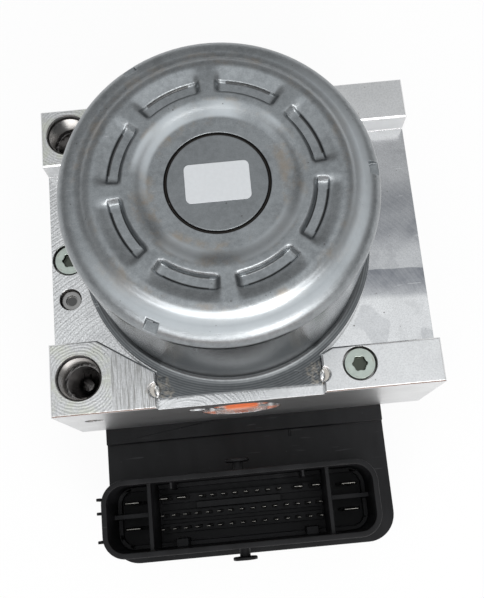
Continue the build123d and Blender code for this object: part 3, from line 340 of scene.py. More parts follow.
def machined_aluminium(colour):
    """Extruded bar with milled faces: each face has its own tool marks, by its place and direction."""
    f = Finish("machined_aluminium")
    x, y, z = f.axes()
    _, ny, nz = f.facing()
    up = nz.rising(0.7, 0.9)
    on_rail = up * z.rising((Z_RAIL - 0.9) * MM, (Z_RAIL - 0.5) * MM)
    on_mid = up * z.falling((Z_RAIL - 0.9) * MM, (Z_RAIL - 0.5) * MM)
    upright = abs(nz).falling(0.3, 0.7)
    front_port, rear_port = (f.block_distance(*port) for port in PORTS)
    near_front = y.falling((BLOCK_Y - 1) * MM, (BLOCK_Y + 1) * MM)
    radius = front_port * near_front + rear_port * (1 - near_front)
    boss = on_rail * x.falling(-34.6 * MM, -34.2 * MM)
    ramp = on_rail * x.inside(-34.2 * MM, -22 * MM, 0.2 * MM)
    wobble = f.noise(6.0, detail=2.0)
    # Rings of the facing cutter on the port bosses, long arcs of the face mill on the milled middle
    rings = (radius + wobble * 1.2).waves(0.80)
    sweep = f.block_distance(-16, -50)
    arcs = (sweep + wobble * 1.6).waves(1.25) * 0.6 + (sweep + wobble).waves(0.7) * 0.4
    lines_y = f.noise(0.24, f.placed(scale=(1.0, 0.03, 0.2)), detail=3.0, rough=0.7)
    lines_x = f.noise(0.34, f.placed((40, 0, 0), scale=(0.02, 0.4, 1.0)), detail=3.0, rough=0.7)
    speckle = f.noise(0.42, detail=4.0, rough=0.8)
    clouds = f.noise(10.0, detail=3.0)
    blotch = f.noise(4.5, f.placed((2, 6, 1)), detail=5.0, rough=0.6)
    milled_front = upright * ny.falling(-0.9, -0.7)
    pits = (f.cells(2.3, f.placed(turn=33)).falling(0.05, 0.11)
            * f.noise(8.0, f.placed((9, 0, 0))).rising(0.48, 0.60))
    marks = f.scratches(13, 12, -0.02, 11).either(f.scratches(11, -38, -0.02, 71))
    left = x.falling(-30 * MM, -26 * MM)
    satin = on_rail + on_mid
    # The right middle is shiny, with a painted dark reflection that has a sharp edge, and painted bright
    # reflection patches in front of it
    right = on_mid * x.rising(8 * MM, 14 * MM)
    line = y + x * 0.05 + f.noise(5.0, detail=1.0) * MM
    patch = f.noise(9.0, f.placed((31, 12, 0), 24, (1.0, 0.7, 1.0)), detail=1.0, rough=0.3).rising(0.44, 0.46)
    band = line.rising(3 * MM, 10 * MM) * line.falling(12.6 * MM, 12.9 * MM)
    dusk = line.inside(24 * MM, 33 * MM, 7 * MM)
    front = line.falling(4 * MM, 6 * MM)
    painted_reflection = right * (0.42 + band * 0.55 + dusk * 0.4) * (1 - front * (0.35 + patch * 0.5))
    calm = 1 - right * 0.7
    grainy = (speckle.rising(0.42, 0.62) * (0.30 + boss * 0.30 + on_mid * left * 0.40)) * satin
    tooling = (boss * rings * 0.5 + on_mid * arcs * (0.20 + left * 0.3) * calm * calm
               + ramp * (lines_y - 0.5) * 3.2 + on_rail * (1 - boss) * (1 - ramp) * (lines_y - 0.5) * 0.9
               + upright * (lines_x - 0.5))
    grit = speckle * satin * calm * (0.5 + boss * 0.5 + left * 0.5)
    base = f.blend(clouds.rising(0.30, 0.70) * 0.5, colour, toned(colour, 0.86))
    base = f.blend(grainy, base, toned(colour, 0.52))
    base = f.blend(blotch.rising(0.50, 0.68) * on_mid * 0.35, base, toned(colour, 0.62))
    base = f.blend(ramp * lines_y.rising(0.46, 0.60) * 0.65, base, (0.20, 0.19, 0.175))
    base = f.blend(boss * rings.rising(0.2, 0.9) * blotch.rising(0.35, 0.60) * 0.30, base, (0.42, 0.43, 0.40))
    # Painted dark reflection on the right middle, lighter in its painted bright patches
    base = f.blend(painted_reflection * (0.55 + arcs * 0.04 + blotch * 0.45), base, (0.13, 0.14, 0.165))
    base = f.blend(boss * blotch.rising(0.42, 0.62) * 0.45, base, (0.66, 0.68, 0.56))
    base = f.blend(pits * 0.8, base, (0.10, 0.085, 0.07))
    base = f.blend(marks * 0.35, base, (0.97, 0.97, 0.98))
    # Oil and shade in the holes
    hollows = [radius.falling(5.52, 5.62) * z.falling((Z_RAIL - 0.7) * MM, (Z_RAIL - 0.4) * MM)]
    for across, dy, level in SCREWS:
        below = z.falling((level - 0.25) * MM, (level - 0.05) * MM)
        hollows.append(f.block_distance(across, dy).falling(4.42, 4.50) * below)
    below = z.falling((Z_MID - 0.35) * MM, (Z_MID - 0.15) * MM)
    hollows.append(f.block_distance(*PLUGGED).falling(2.98, 3.06) * below)
    base = f.blend(strongest(*hollows) * 0.78, base, (0.16, 0.145, 0.138))
    base = f.blend(staked(f, 2.4) * satin * 0.7, base, (0.40, 0.35, 0.29))
    rough = (0.12 + on_rail * 0.14 + satin * speckle * (0.06 + left * 0.10) + boss * 0.08 + clouds * 0.05
             + upright * 0.10 + milled_front * 0.12)
    relief = f.relief(tooling, 0.055, 0.8)
    relief = f.relief(grit - pits * 0.8 - marks * 0.3, 0.07, 0.6, relief)
    return f.shade(base, rough, 1.0, relief)


def turned_metal(name, colour, roughness, centre=None, tint=None, dimple=0.0):
    """Turned steel or aluminium with light clouds; a centre gives it fine rings and a dark dimple."""
    f = Finish(name)
    clouds = f.noise(4.0, detail=3.0)
    grain = f.noise(0.25, detail=3.0, rough=0.7)
    base = f.blend(clouds.rising(0.3, 0.7), toned(colour, 0.85), colour)
    if tint:
        stain = f.noise(2.2, f.placed((5, 5, 5)), detail=4.0).rising(0.45, 0.7)
        base = f.blend(stain * 0.6, base, tint)
    height = grain * 0.4
    if centre:
        radius = f.ring_distance(centre)
        base = f.blend(radius.falling(dimple - 0.1, dimple + 0.1) * 0.8, base, (0.05, 0.05, 0.05))
        height = height + radius.waves(0.35) * 0.25
    return f.shade(base, roughness + clouds * 0.10 + grain * 0.06, 1.0, f.relief(height, 0.012, 0.6))


def passivated_screw(colour):
    """Pale green passivated screws with painted shade in their six-lobe sockets and a worn rim."""
    f = Finish("passivated_screw")
    _, _, z = f.axes()
    clouds = f.noise(2.0, detail=4.0)
    grain = f.noise(0.25, detail=3.0, rough=0.7)
    sockets = []
    rims = []
    for across, dy, level in SCREWS:
        radius = f.block_distance(across, dy)
        floor = z.rising((level - 3.5) * MM, (level - 3.4) * MM)
        below = z.falling((level - 0.85) * MM, (level - 0.70) * MM)
        sockets.append(radius.falling(2.45, 2.60) * below * floor)
        rims.append(radius.inside(3.3, 3.6, 0.15) * z.rising((level - 2.0) * MM, (level - 1.9) * MM))
    base = f.blend(clouds.rising(0.3, 0.7), toned(colour, 0.82), colour)
    base = f.blend(clouds.rising(0.50, 0.62) * strongest(*rims) * 0.5, base, (0.34, 0.30, 0.26))
    # Painted shade in the six-lobe sockets
    base = f.blend(strongest(*sockets) * 0.92, base, (0.045, 0.05, 0.038))
    return f.shade(base, 0.24 + clouds * 0.12 + grain * 0.06, 1.0, f.relief(grain + clouds, 0.03, 0.6))


def plug_with_painted_reflection(colour, reflected_colour):
    """Turned plug with a painted orange reflection in its recess."""
    f = Finish("plug_with_painted_reflection")
    x, y, _ = f.axes()
    grain = f.noise(0.4, detail=3.0)
    ragged = f.noise(3.0, f.placed((7, 0, 2)), detail=3.0) * 2.2
    reach = abs(x - MOTOR_X * MM) / MM + ragged
    spot = reach.falling(5.0, 6.6) * y.falling((BLOCK_LOW.y + 5) * MM, (BLOCK_LOW.y + 6) * MM)
    # Painted orange reflection in the recess, less metallic than the plug
    base = f.blend(spot, colour, f.blend(grain, reflected_colour, toned(reflected_colour, 0.8)))
    return f.shade(base, 0.16 + spot * 0.16 + grain * 0.05, 1 - spot * 0.75, f.relief(grain, 0.012, 0.6))


def moulded_plastic(name, colour, roughness):
    """Black glass-filled plastic: a fine moulded grain, soft flow marks and a few rubbed spots."""
    f = Finish(name)
    grain = f.noise(0.30, detail=3.0, rough=0.7)
    flow = f.noise(7.0, f.placed(turn=12, scale=(1.0, 0.35, 1.0)), detail=4.0)
    rub = f.scratches(16, 84, 0.0, 19).either(f.scratches(20, -24, 0.0, 43))
    dust = f.cells(3.1, f.placed(turn=41)).falling(0.02, 0.045)
    base = f.blend(flow.rising(0.35, 0.70), colour, [c * 1.7 + 0.001 for c in colour])
    base = f.blend(rub * 0.25 + dust * 0.5, base, (0.09, 0.09, 0.095))
    # Painted light inside the connector, stronger towards its floor, where little room light reaches
    x, y, z = f.axes()
    across = abs(x - SHROUD_X * MM).falling((SHROUD_HALF_X - 0.1) * MM, SHROUD_HALF_X * MM)
    along = abs(y - (BLOCK_Y - SHROUD_AHEAD) * MM).falling((SHROUD_HALF_Y - 0.1) * MM, SHROUD_HALF_Y * MM)
    painted_light_inside = (across * along * z.falling((CASE_HIGH.z - 12) * MM, (CASE_HIGH.z - 2) * MM)
            * z.rising(3 * MM, 4 * MM))
    base = f.blend(painted_light_inside * (0.6 + flow * 0.4), base, toned(colour, 3.0))
    rough = roughness + flow * 0.18 + grain * 0.08 - rub * 0.05
    return f.shade(base, rough, 0.0, f.relief(grain + flow * 0.6, 0.018, 0.5), specular=0.16)


def tinned_contact(colour):
    """Bright tinned contacts, slightly dull in places."""
    f = Finish("tinned_contact")
    clouds = f.noise(0.8, detail=2.0)
    base = f.blend(clouds.rising(0.35, 0.65), toned(colour, 0.8), colour)
    return f.shade(base, 0.16 + clouds * 0.14, 1.0, f.relief(clouds, 0.01, 0.4))


def label_film(colour):
    """Blank white label film with a faint mottle."""
    f = Finish("label_film")
    mottle = f.noise(0.8, detail=3.0)
    base = f.blend(mottle.rising(0.3, 0.7), toned(colour, 0.965), colour)
    return f.shade(base, 0.42 + mottle * 0.08, 0.0, f.relief(mottle, 0.006, 0.4))


def rough_cast(name, colour, roughness, metallic, size):
    """Matt pressed or cast stock with a plain grain."""
    f = Finish(name)
    grain = f.noise(size, detail=4.0, rough=0.65)
    base = f.blend(grain.rising(0.3, 0.7), toned(colour, 0.75), colour)
    return f.shade(base, roughness + grain * 0.15, metallic, f.relief(grain, 0.02, 0.6))


# Mesh tools
def place(x, y, z):
    return Vector((x, y, z)) * MM


def wire_profile(bm, centre, points, corner_steps):
    """Join (radius, height, corner) points beside an upright axis into a loop, and round its corners."""
    verts = [bm.verts.new(place(centre[0] + r, centre[1], z)) for r, z, _ in points]
    for pair in zip(verts, verts[1:] + verts[:1]):
        bm.edges.new(pair)
    for vert, (_, _, corner) in zip(verts, points):
        if corner:
            bmesh.ops.bevel(bm, geom=[vert], offset=corner * MM, offset_type="OFFSET",
                            segments=corner_steps, profile=0.5, affect="VERTICES", material=-1)


def spin_about(bm, centre, steps):
    """Turn the wire in bm through a full circle about an upright axis."""
    bmesh.ops.spin(bm, geom=bm.verts[:] + bm.edges[:], cent=place(*centre, 0), axis=(0, 0, 1),
                   dvec=(0, 0, 0), angle=2 * pi, steps=steps, use_merge=True)
    bmesh.ops.remove_doubles(bm, verts=bm.verts[:], dist=1e-7)
    bmesh.ops.recalc_face_normals(bm, faces=bm.faces[:])


def cad_copy(node, whole=True):
    """The node's mesh with its loose triangles joined.

    whole also joins the triangles of each flat face. It closes holes that such a face has in its middle,
    so it is left off where one of them shows.
    """
    bm = bmesh.new()
    bm.from_mesh(NODES[node].data)
    bmesh.ops.remove_doubles(bm, verts=bm.verts[:], dist=2e-6)
    if whole:
        bmesh.ops.dissolve_limit(bm, angle_limit=radians(0.6), verts=bm.verts[:], edges=bm.edges[:],
                                 use_dissolve_boundaries=False, delimit=set())
    else:
        bmesh.ops.dissolve_degenerate(bm, dist=2e-5, edges=bm.edges[:])
    return bm


def box_tool(centre, size, turn=0.0, about=(0, 0)):
    """A block to cut or join with: its centre, its size and a turn about an upright axis."""
    bm = bmesh.new()
    bmesh.ops.create_cube(bm, size=1.0)
    bmesh.ops.scale(bm, vec=Vector(size) * MM, verts=bm.verts[:])
    bmesh.ops.translate(bm, vec=place(*centre), verts=bm.verts[:])
    if turn:
        bmesh.ops.rotate(bm, cent=place(*about, 0), matrix=Matrix.Rotation(turn, 3, "Z"), verts=bm.verts[:])
    return bm


def make_object(name, bm):
    """A linked object from bm, at the origin."""
    mesh = bpy.data.meshes.new(name)
    bm.to_mesh(mesh)
    bm.free()
    obj = bpy.data.objects.new(name, mesh)
    bpy.context.scene.collection.objects.link(obj)
    return obj


def settle(obj):
    """Turn the object's modifiers into its mesh."""
    graph = bpy.context.evaluated_depsgraph_get()
    mesh = bpy.data.meshes.new_from_object(obj.evaluated_get(graph))
    obj.modifiers.clear()
    obj.data = mesh


def carve(obj, bm, operation="DIFFERENCE"):
    """Cut bm out of the object, or join it on."""
    tool = make_object(obj.name + "_tool", bm)
    cut = obj.modifiers.new("cut", "BOOLEAN")
    cut.operation = operation
    cut.solver = "EXACT"
    cut.object = tool
    settle(obj)
    bpy.data.objects.remove(tool)


def dress(obj, material, replaces=(), edge=0.0, smooth=35.0):
    """Finish a piece of the root body: rounded edges, shading, material and the nodes it stands for."""
    obj.data.materials.clear()
    obj.data.materials.append(material)
    obj.data.shade_smooth()
    if edge:
        bevel = obj.modifiers.new("edges", "BEVEL")
        bevel.width = edge * MM
        bevel.segments = 2
        bevel.limit_method = "ANGLE"
        bevel.angle_limit = radians(smooth)
        bevel.use_clamp_overlap = False
        weights = obj.modifiers.new("flat_faces", "WEIGHTED_NORMAL")
        weights.keep_sharp = True
    else:
        obj.data.set_sharp_from_angle(angle=radians(smooth))
    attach(obj, "root")
    if replaces:
        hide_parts(*replaces)


def smoothstep(value, low, high):
    share = min(max((value - low) / (high - low), 0.0), 1.0)
    return share * share * (3 - 2 * share)


# Settings that a user would change
class BRAKE_PG_can(bpy.types.PropertyGroup):
    bend: FloatProperty(name="Rim bend", description="Bend of the can's rim", default=4.0 * MM,
                        min=0.001, max=0.008, unit="LENGTH")
    pocket: FloatProperty(name="Pocket depth", description="Depth of the pressed pockets",
                          default=1.8 * MM, min=0.0, max=0.003, unit="LENGTH")
    steps: IntProperty(name="Steps", description="Steps round the can", default=360, min=96, max=720)
    steel: FloatVectorProperty(name="Steel", description="Colour of the zinc coat", subtype="COLOR",
                               size=3, default=(0.28, 0.297, 0.309), min=0.0, max=1.0)
    label: FloatVectorProperty(name="Label", description="Colour of the blank label", subtype="COLOR",
                               size=3, default=(0.60, 0.62, 0.64), min=0.0, max=1.0)


class BRAKE_PG_block(bpy.types.PropertyGroup):
    edge: FloatProperty(name="Edge", description="Rounding of the block's edges", default=0.12 * MM,
                        min=0.0, max=0.001, unit="LENGTH")
    aluminium: FloatVectorProperty(name="Aluminium", description="Colour of the machined faces",
                                   subtype="COLOR", size=3, default=(0.76, 0.765, 0.77), min=0.0, max=1.0)
    pitch: FloatProperty(name="Thread pitch", description="Pitch of the port threads", default=1.0 * MM,
                         min=0.0005, max=0.002, unit="LENGTH")


class BRAKE_PG_controller(bpy.types.PropertyGroup):
    edge: FloatProperty(name="Edge", description="Rounding of the moulded edges", default=0.25 * MM,
                        min=0.0, max=0.001, unit="LENGTH")
    plastic: FloatVectorProperty(name="Plastic", description="Colour of the moulded housing",
                                 subtype="COLOR", size=3, default=(0.0065, 0.0065, 0.0072), min=0.0, max=1.0)
    tin: FloatVectorProperty(name="Contacts", description="Colour of the tinned contacts",
                             subtype="COLOR", size=3, default=(0.30, 0.29, 0.27), min=0.0, max=1.0)


class BRAKE_PG_stage(bpy.types.PropertyGroup):
    lens: FloatProperty(name="Lens", description="Focal length of the camera", default=49.88,
                        min=10.0, max=200.0, unit="CAMERA")
    floor: FloatVectorProperty(name="Floor", description="Colour of the floor", subtype="COLOR",
                               size=3, default=(0.92, 0.92, 0.92), min=0.0, max=1.0)
    ceiling: FloatProperty(name="Ceiling", description="Brightness of the ceiling", default=1.12,
                           min=0.0, max=3.0)
    panel: FloatProperty(name="Panel", description="Brightness of the panel in front", default=4.0,
                         min=0.0, max=10.0)
    key: FloatProperty(name="Key", description="Power of the key lamp in watts", default=0.3,
                       min=0.0, max=20.0)


class BrakeOperator(bpy.types.Operator):
    """Base of the operators that make pieces."""
    bl_options = {"REGISTER", "UNDO"}


class BRAKE_OT_motor_can(BrakeOperator):
    """Press the motor can with its pockets, notches and flange"""
    bl_idname = "brake_module.motor_can"
    bl_label = "Motor Can"

    # Thickness of the sheet, radius of the wall and of the flange
    SHEET = 1.8
    RADIUS = 35.6
    FLANGE = 38.0

    # Raised ring: radii of its flat, run of its slopes, and its height over the shoulder and the hub
    CREST = (18.4, 28.2)
    SLOPE = 2.2
    OVER_SHOULDER = 2.0
    OVER_HUB = 1.4

    # Groove round the hub disc: radii of its lips and floor, and its depth
    GROOVE = (10.95, 11.05, 11.55, 11.65)
    GROOVE_DEPTH = 0.7

    # Pockets: radii of the floor and of the dish's mouth, and the run of the steep step round the floor
    FLOOR = (21.55, 23.65)
    MOUTH = (20.4, 27.4)
    STEP = 0.4

    # Angles from a pocket's middle over which the dish and the step fade, and the dish's share of the depth
    DISH_END = (14.6, 19.2)
    STEP_END = (16.9, 17.9)
    DISH = 0.62

    # Edges of the flange's tabs along X, and how far from the motor's axis they start
    TABS = (-22.85, 18.95)
    TAB_START = 30

    # Key notches in the rim: their number, size, and how far inside the wall and below the shoulder
    NOTCHES = 3
    NOTCH = (2.5, 3.0, 4.0)
    NOTCH_IN = 1.45
    NOTCH_DOWN = 0.25

    def pocket_dip(self, radius, turn, depth):
        """How far the sheet is pressed down at a place on the raised ring."""
        pitch = 360 / POCKETS
        off = abs((turn - TURN) % pitch - pitch / 2)
        low, high = self.FLOOR
        dished = smoothstep(radius, self.MOUTH[0], low) * (1 - smoothstep(radius, high, self.MOUTH[1]))
        sunk = smoothstep(radius, low - self.STEP, low) * (1 - smoothstep(radius, high, high + self.STEP))
        return depth * (dished * self.DISH * (1 - smoothstep(off, *self.DISH_END))
                        + sunk * (1 - self.DISH) * (1 - smoothstep(off, *self.STEP_END)))

    def section(self, bend):
        """The sheet's section: radius, height and corner rounding of its points, out and back in."""
        sheet, slope = self.SHEET, self.SLOPE
        r_in, r_out = self.CREST
        crest, shoulder, hub = Z_CREST, Z_CREST - self.OVER_SHOULDER, Z_CREST - self.OVER_HUB
        disc, floor_in, floor_out, lip = self.GROOVE
        groove = hub - self.GROOVE_DEPTH
        outer = [
            (0, hub, 0), (disc, hub, 0.15), (floor_in, groove, 0), (floor_out, groove, 0), (lip, hub, 0.15),
            (r_in - slope, hub, 1.1), (r_in, crest, 1.1), (r_out, crest, 1.3),
            (r_out + slope, shoulder, 1.2), (self.RADIUS, shoulder, bend),
            (self.RADIUS, Z_SEAT + sheet, 2.0), (self.FLANGE, Z_SEAT + sheet, 0.25),
            (self.FLANGE, Z_SEAT, 0.1),
        ]
        inner_wall = self.RADIUS - sheet
        inner = [
            (inner_wall, Z_SEAT, 0), (inner_wall, shoulder - sheet, bend - sheet),
            (r_out + slope - sheet / 2, shoulder - sheet, 0.5), (r_out - sheet / 2, crest - sheet, 0.5),
            (r_in + sheet / 2, crest - sheet, 0.5), (r_in - slope + sheet / 2, hub - sheet, 0.5),
            (0, hub - sheet, 0),
        ]
        return outer + inner

    def press_pockets(self, bm, depth):
        """Push the sheet of the raised ring down into its pockets."""
        for vert in bm.verts:
            x, y, _ = vert.co / MM
            turn = degrees(atan2(y - MOTOR_Y, x - MOTOR_X))
            vert.co.z -= self.pocket_dip(hypot(x - MOTOR_X, y - MOTOR_Y), turn, depth) * MM

    def add_tabs(self, can):
        """Join the flange's tabs on, between the rails at the front and rear."""
        x0, x1 = self.TABS
        for y0, y1 in ((CAN_LOW.y, MOTOR_Y - self.TAB_START), (MOTOR_Y + self.TAB_START, CAN_HIGH.y)):
            middle = ((x0 + x1) / 2, (y0 + y1) / 2, Z_SEAT + self.SHEET / 2)
            carve(can, box_tool(middle, (x1 - x0, y1 - y0, self.SHEET)), "UNION")

    def cut_notches(self, can):
        """Cut the key notches, evenly spaced round the rim."""
        height = Z_CREST - self.OVER_SHOULDER - self.NOTCH_DOWN
        spot = (MOTOR_X + self.RADIUS - self.NOTCH_IN, MOTOR_Y, height)
        for i in range(self.NOTCHES):
            turn = radians(TURN + 360 / self.NOTCHES * i)
            carve(can, box_tool(spot, self.NOTCH, turn, (MOTOR_X, MOTOR_Y)))

    def execute(self, context):
        settings = context.scene.brake_can
        bm = bmesh.new()
        wire_profile(bm, (MOTOR_X, MOTOR_Y), self.section(settings.bend / MM), 6)
        ring_height = (Z_CREST - self.SHEET - 0.1) * MM
        ring_edges = [e for e in bm.edges if abs(e.verts[0].co.z - e.verts[1].co.z) < 1e-6
                      and e.calc_length() > 5 * MM and min(v.co.z for v in e.verts) > ring_height]
        bmesh.ops.subdivide_edges(bm, edges=ring_edges, cuts=39)
        axis_edges = [e for e in bm.edges if all(abs(v.co.x - MOTOR_X * MM) < 1e-9 for v in e.verts)]
        bmesh.ops.delete(bm, geom=axis_edges, context="EDGES")
        spin_about(bm, (MOTOR_X, MOTOR_Y), settings.steps)
        self.press_pockets(bm, settings.pocket / MM)
        can = make_object("pressed_can", bm)
        self.add_tabs(can)
        self.cut_notches(can)
        dress(can, zinc_plated_steel(settings.steel), ("motor_can",), edge=0.15, smooth=40)
        label = make_object("blank_label", cad_copy("motor_label"))
        dress(label, label_film(settings.label), ("motor_label",), edge=0.05)
        return {"FINISHED"}


class BRAKE_OT_block(BrakeOperator):
    """Finish the machined valve block with its broken edges and staked lips"""
    bl_idname = "brake_module.block"
    bl_label = "Valve Block"

    # Staked lips: half sizes, and how far they are inwards of the punch marks and above the flange's seat
    LIP = (0.95, 1.75, 1.5)
    LIP_IN = 0.25
    LIP_UP = 1.2

    def execute(self, context):
        settings = context.scene.brake_block
        aluminium = machined_aluminium(settings.aluminium)
        block = make_object("machined_block", cad_copy("valve_block"))
        dress(block, aluminium, ("valve_block",), edge=settings.edge / MM)
        bm = bmesh.new()
        for x, dy in PUNCHES:
            inward = 1 if x < 0 else -1
            lip = bmesh.ops.create_uvsphere(bm, u_segments=24, v_segments=12, radius=MM)["verts"]
            bmesh.ops.scale(bm, vec=self.LIP, verts=lip)
            spot = place(x + inward * self.LIP_IN, BLOCK_Y + dy, Z_SEAT + self.LIP_UP)
            bmesh.ops.translate(bm, vec=spot, verts=lip)
        lips = make_object("staked_lips", bm)
        worked = turned_metal("worked_aluminium", settings.aluminium, 0.18, tint=(0.62, 0.58, 0.50))
        dress(lips, worked, smooth=60)
        return {"FINISHED"}


class BRAKE_OT_threads(BrakeOperator):
    """Cut the threads of the ports and bracket holes"""
    bl_idname = "brake_module.threads"
    bl_label = "Threads"

    # How deep the ridge is rooted in the wall, how far it stands out of it, and how short of the hole it ends
    ROOT = 0.08
    RIDGE = 0.42
    SHORT = 0.3

    def execute(self, context):
        pitch = context.scene.brake_block.pitch / MM
        metal = turned_metal("thread_aluminium", (0.40, 0.385, 0.37), 0.2)
        for mount in frame["record"]["mounts"]:
            if mount["kind"] != "threaded_hole":
                continue
            radius = mount["dims"]["r_mm"]
            length = mount["dims"]["length_mm"] - self.SHORT
            bm = bmesh.new()
            root = radius + self.ROOT
            ridge = [(root, 0), (radius - self.RIDGE, pitch * 0.5), (root, pitch * 0.98)]
            verts = [bm.verts.new(place(r, 0, z)) for r, z in ridge]
            for pair in zip(verts, verts[1:] + verts[:1]):
                bm.edges.new(pair)
            turns = length / pitch - 1
            steps = round(turns * 40)
            bmesh.ops.spin(bm, geom=bm.verts[:] + bm.edges[:], cent=(0, 0, 0), axis=(0, 0, 1),
                           dvec=(0, 0, pitch * turns / steps * MM), angle=2 * pi * turns, steps=steps)
            bmesh.ops.holes_fill(bm, edges=[e for e in bm.edges if e.is_boundary])
            bmesh.ops.recalc_face_normals(bm, faces=bm.faces[:])
            axis = Vector(mount["axis"])
            bmesh.ops.translate(bm, vec=place(0, 0, -length / 2), verts=bm.verts[:])
            to_axis = Vector((0, 0, 1)).rotation_difference(axis).to_matrix()
            bmesh.ops.rotate(bm, cent=(0, 0, 0), matrix=to_axis, verts=bm.verts[:])
            bmesh.ops.translate(bm, vec=Vector(mount["pos_m"]), verts=bm.verts[:])
            thread = make_object("thread_" + mount["name"], bm)
            dress(thread, metal, smooth=50)
        return {"FINISHED"}


class BRAKE_OT_fasteners(BrakeOperator):
    """Finish the case screws and the plugs of the bores"""
    bl_idname = "brake_module.fasteners"
    bl_label = "Screws and Plugs"

    def execute(self, context):
        passivated = passivated_screw((0.52, 0.58, 0.53))
        screws = make_object("case_screw_set", cad_copy("case_screws"))
        dress(screws, passivated, ("case_screws",), edge=0.16)
        plug = make_object("seal_plug", cad_copy("bore_plug"))
        centre = (PLUGGED[0], BLOCK_Y + PLUGGED[1], 0)
        steel = turned_metal("plug_steel", (0.34, 0.335, 0.33), 0.25, centre, dimple=1.25)
        dress(plug, steel, ("bore_plug",), edge=0.12)
        bright = (0.74, 0.73, 0.72)
        turned = turned_metal("turned_aluminium", bright, 0.14)
        # The front plug gets a painted orange reflection in its recess
        orange_reflection = plug_with_painted_reflection(bright, (0.80, 0.24, 0.10))
        for side, finish in (("front", orange_reflection), ("rear", turned)):
            cap = make_object("pump_bore_plug_" + side, cad_copy("pump_plug_" + side))
            dress(cap, finish, ("pump_plug_" + side,), edge=0.2)
        return {"FINISHED"}


class BRAKE_OT_controller(BrakeOperator):
    """Finish the moulded controller housing, its cover and the plate that carries the terminals"""
    bl_idname = "brake_module.controller"
    bl_label = "Controller"

    def execute(self, context):
        settings = context.scene.brake_controller
        plastic = moulded_plastic("moulded_plastic", settings.plastic, 0.30)
        edge = settings.edge / MM
        pieces = (("connector_housing", "ecu_housing", edge), ("controller_cover", "ecu_cover", edge),
                  ("terminal_plate", "terminal_carrier", 0.1))
        for name, node, width in pieces:
            piece = make_object(name, cad_copy(node, whole=False))
            dress(piece, plastic, (node,), edge=width)
        return {"FINISHED"}


class BRAKE_OT_terminals(BrakeOperator):
    """Finish the tinned terminals with tapered tips"""
    bl_idname = "brake_module.terminals"
    bl_label = "Terminals"

    # Length of the taper, and the tip's share of the terminal's width and thickness
    TAPER = 1.6
    TIP = (0.80, 0.25)

    def execute(self, context):
        tin = tinned_contact(context.scene.brake_controller.tin)
        for node in ("signal_terminals", "power_terminals", "supply_blades"):
            bm = cad_copy(node)
            top = max(v.co.z for v in bm.verts)
            for face in [f for f in bm.faces if f.calc_center_median().z > top - 1e-6]:
                tip = bmesh.ops.extrude_discrete_faces(bm, faces=[face])["faces"][0]
                centred = Matrix.Translation(-tip.calc_center_median())
                ring = {v for edge in tip.edges for f in edge.link_faces for v in f.verts} - set(tip.verts)
                bmesh.ops.translate(bm, vec=place(0, 0, -self.TAPER), verts=list(ring))
                bmesh.ops.scale(bm, vec=(*self.TIP, 1.0), space=centred, verts=tip.verts[:])
            piece = make_object("tipped_" + node, bm)
            dress(piece, tin, (node,), edge=0.06, smooth=50)
        return {"FINISHED"}


class BRAKE_OT_springs(BrakeOperator):
    """Finish the accumulator springs, which shorten under their pistons, and give each a mesh of its own"""
    bl_idname = "brake_module.springs"
    bl_label = "Accumulator Springs"

    def execute(self, context):
        wire = turned_metal("coiled_wire", (0.52, 0.52, 0.54), 0.25)
        for joint in frame["joints"]:
            for shortened in joint.get("deforming_nodes", ()):
                node = shortened["node"]
                spring = make_object("coiled_" + node, cad_copy(node, whole=False))
                dress(spring, wire, (node,), smooth=50)
                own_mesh(spring)
        return {"FINISHED"}


class BRAKE_OT_inner_parts(BrakeOperator):
    """Give every remaining node of the frame its finish"""
    bl_idname = "brake_module.inner_parts"
    bl_label = "Inner Parts"

    def execute(self, context):
        finishes = {
            "block_aluminium": turned_metal("inner_aluminium", (0.78, 0.78, 0.78), 0.3),
            "plug_aluminium": turned_metal("inner_plug", (0.72, 0.72, 0.72), 0.25),
            "can_steel": turned_metal("inner_can", (0.5, 0.51, 0.52), 0.35),
            "label_white": rough_cast("inner_label", (0.85, 0.85, 0.85), 0.4, 0.0, 0.8),
            "screw_steel": turned_metal("inner_screw", (0.6, 0.64, 0.6), 0.3),
            "bearing_steel": turned_metal("ground_steel", (0.60, 0.60, 0.62), 0.2),
            "core_iron": rough_cast("stacked_sheet", (0.30, 0.30, 0.31), 0.45, 1.0, 0.5),
            "winding_copper": rough_cast("enamelled_wire", (0.62, 0.25, 0.09), 0.3, 0.6, 0.9),
            "commutator_copper": turned_metal("turned_copper", (0.80, 0.42, 0.24), 0.25),
            "magnet_ferrite": rough_cast("pressed_ferrite", (0.06, 0.06, 0.065), 0.6, 0.0, 0.7),
            "brush_carbon": rough_cast("pressed_carbon", (0.035, 0.035, 0.04), 0.5, 0.0, 0.4),
            "spring_steel": turned_metal("spring_wire", (0.52, 0.52, 0.54), 0.25),
            "pump_steel": turned_metal("pump_steel", (0.58, 0.58, 0.60), 0.18),
            "valve_steel": turned_metal("valve_steel", (0.62, 0.62, 0.63), 0.22),
            "coil_plastic": moulded_plastic("coil_plastic", (0.03, 0.03, 0.032), 0.4),
            "case_plastic": moulded_plastic("inner_plastic", (0.015, 0.015, 0.016), 0.4),
            "gasket_rubber": rough_cast("moulded_rubber", (0.02, 0.02, 0.02), 0.6, 0.0, 0.5),
            "board_green": rough_cast("solder_mask", (0.02, 0.13, 0.05), 0.35, 0.0, 0.6),
            "terminal_tin": turned_metal("inner_tin", (0.8, 0.78, 0.74), 0.2),
        }
        for row in frame["record"]["subparts"]:
            node = NODES[row["node"]]
            node.data.materials.clear()
            node.data.materials.append(finishes[row["material_slot"]])
        return {"FINISHED"}


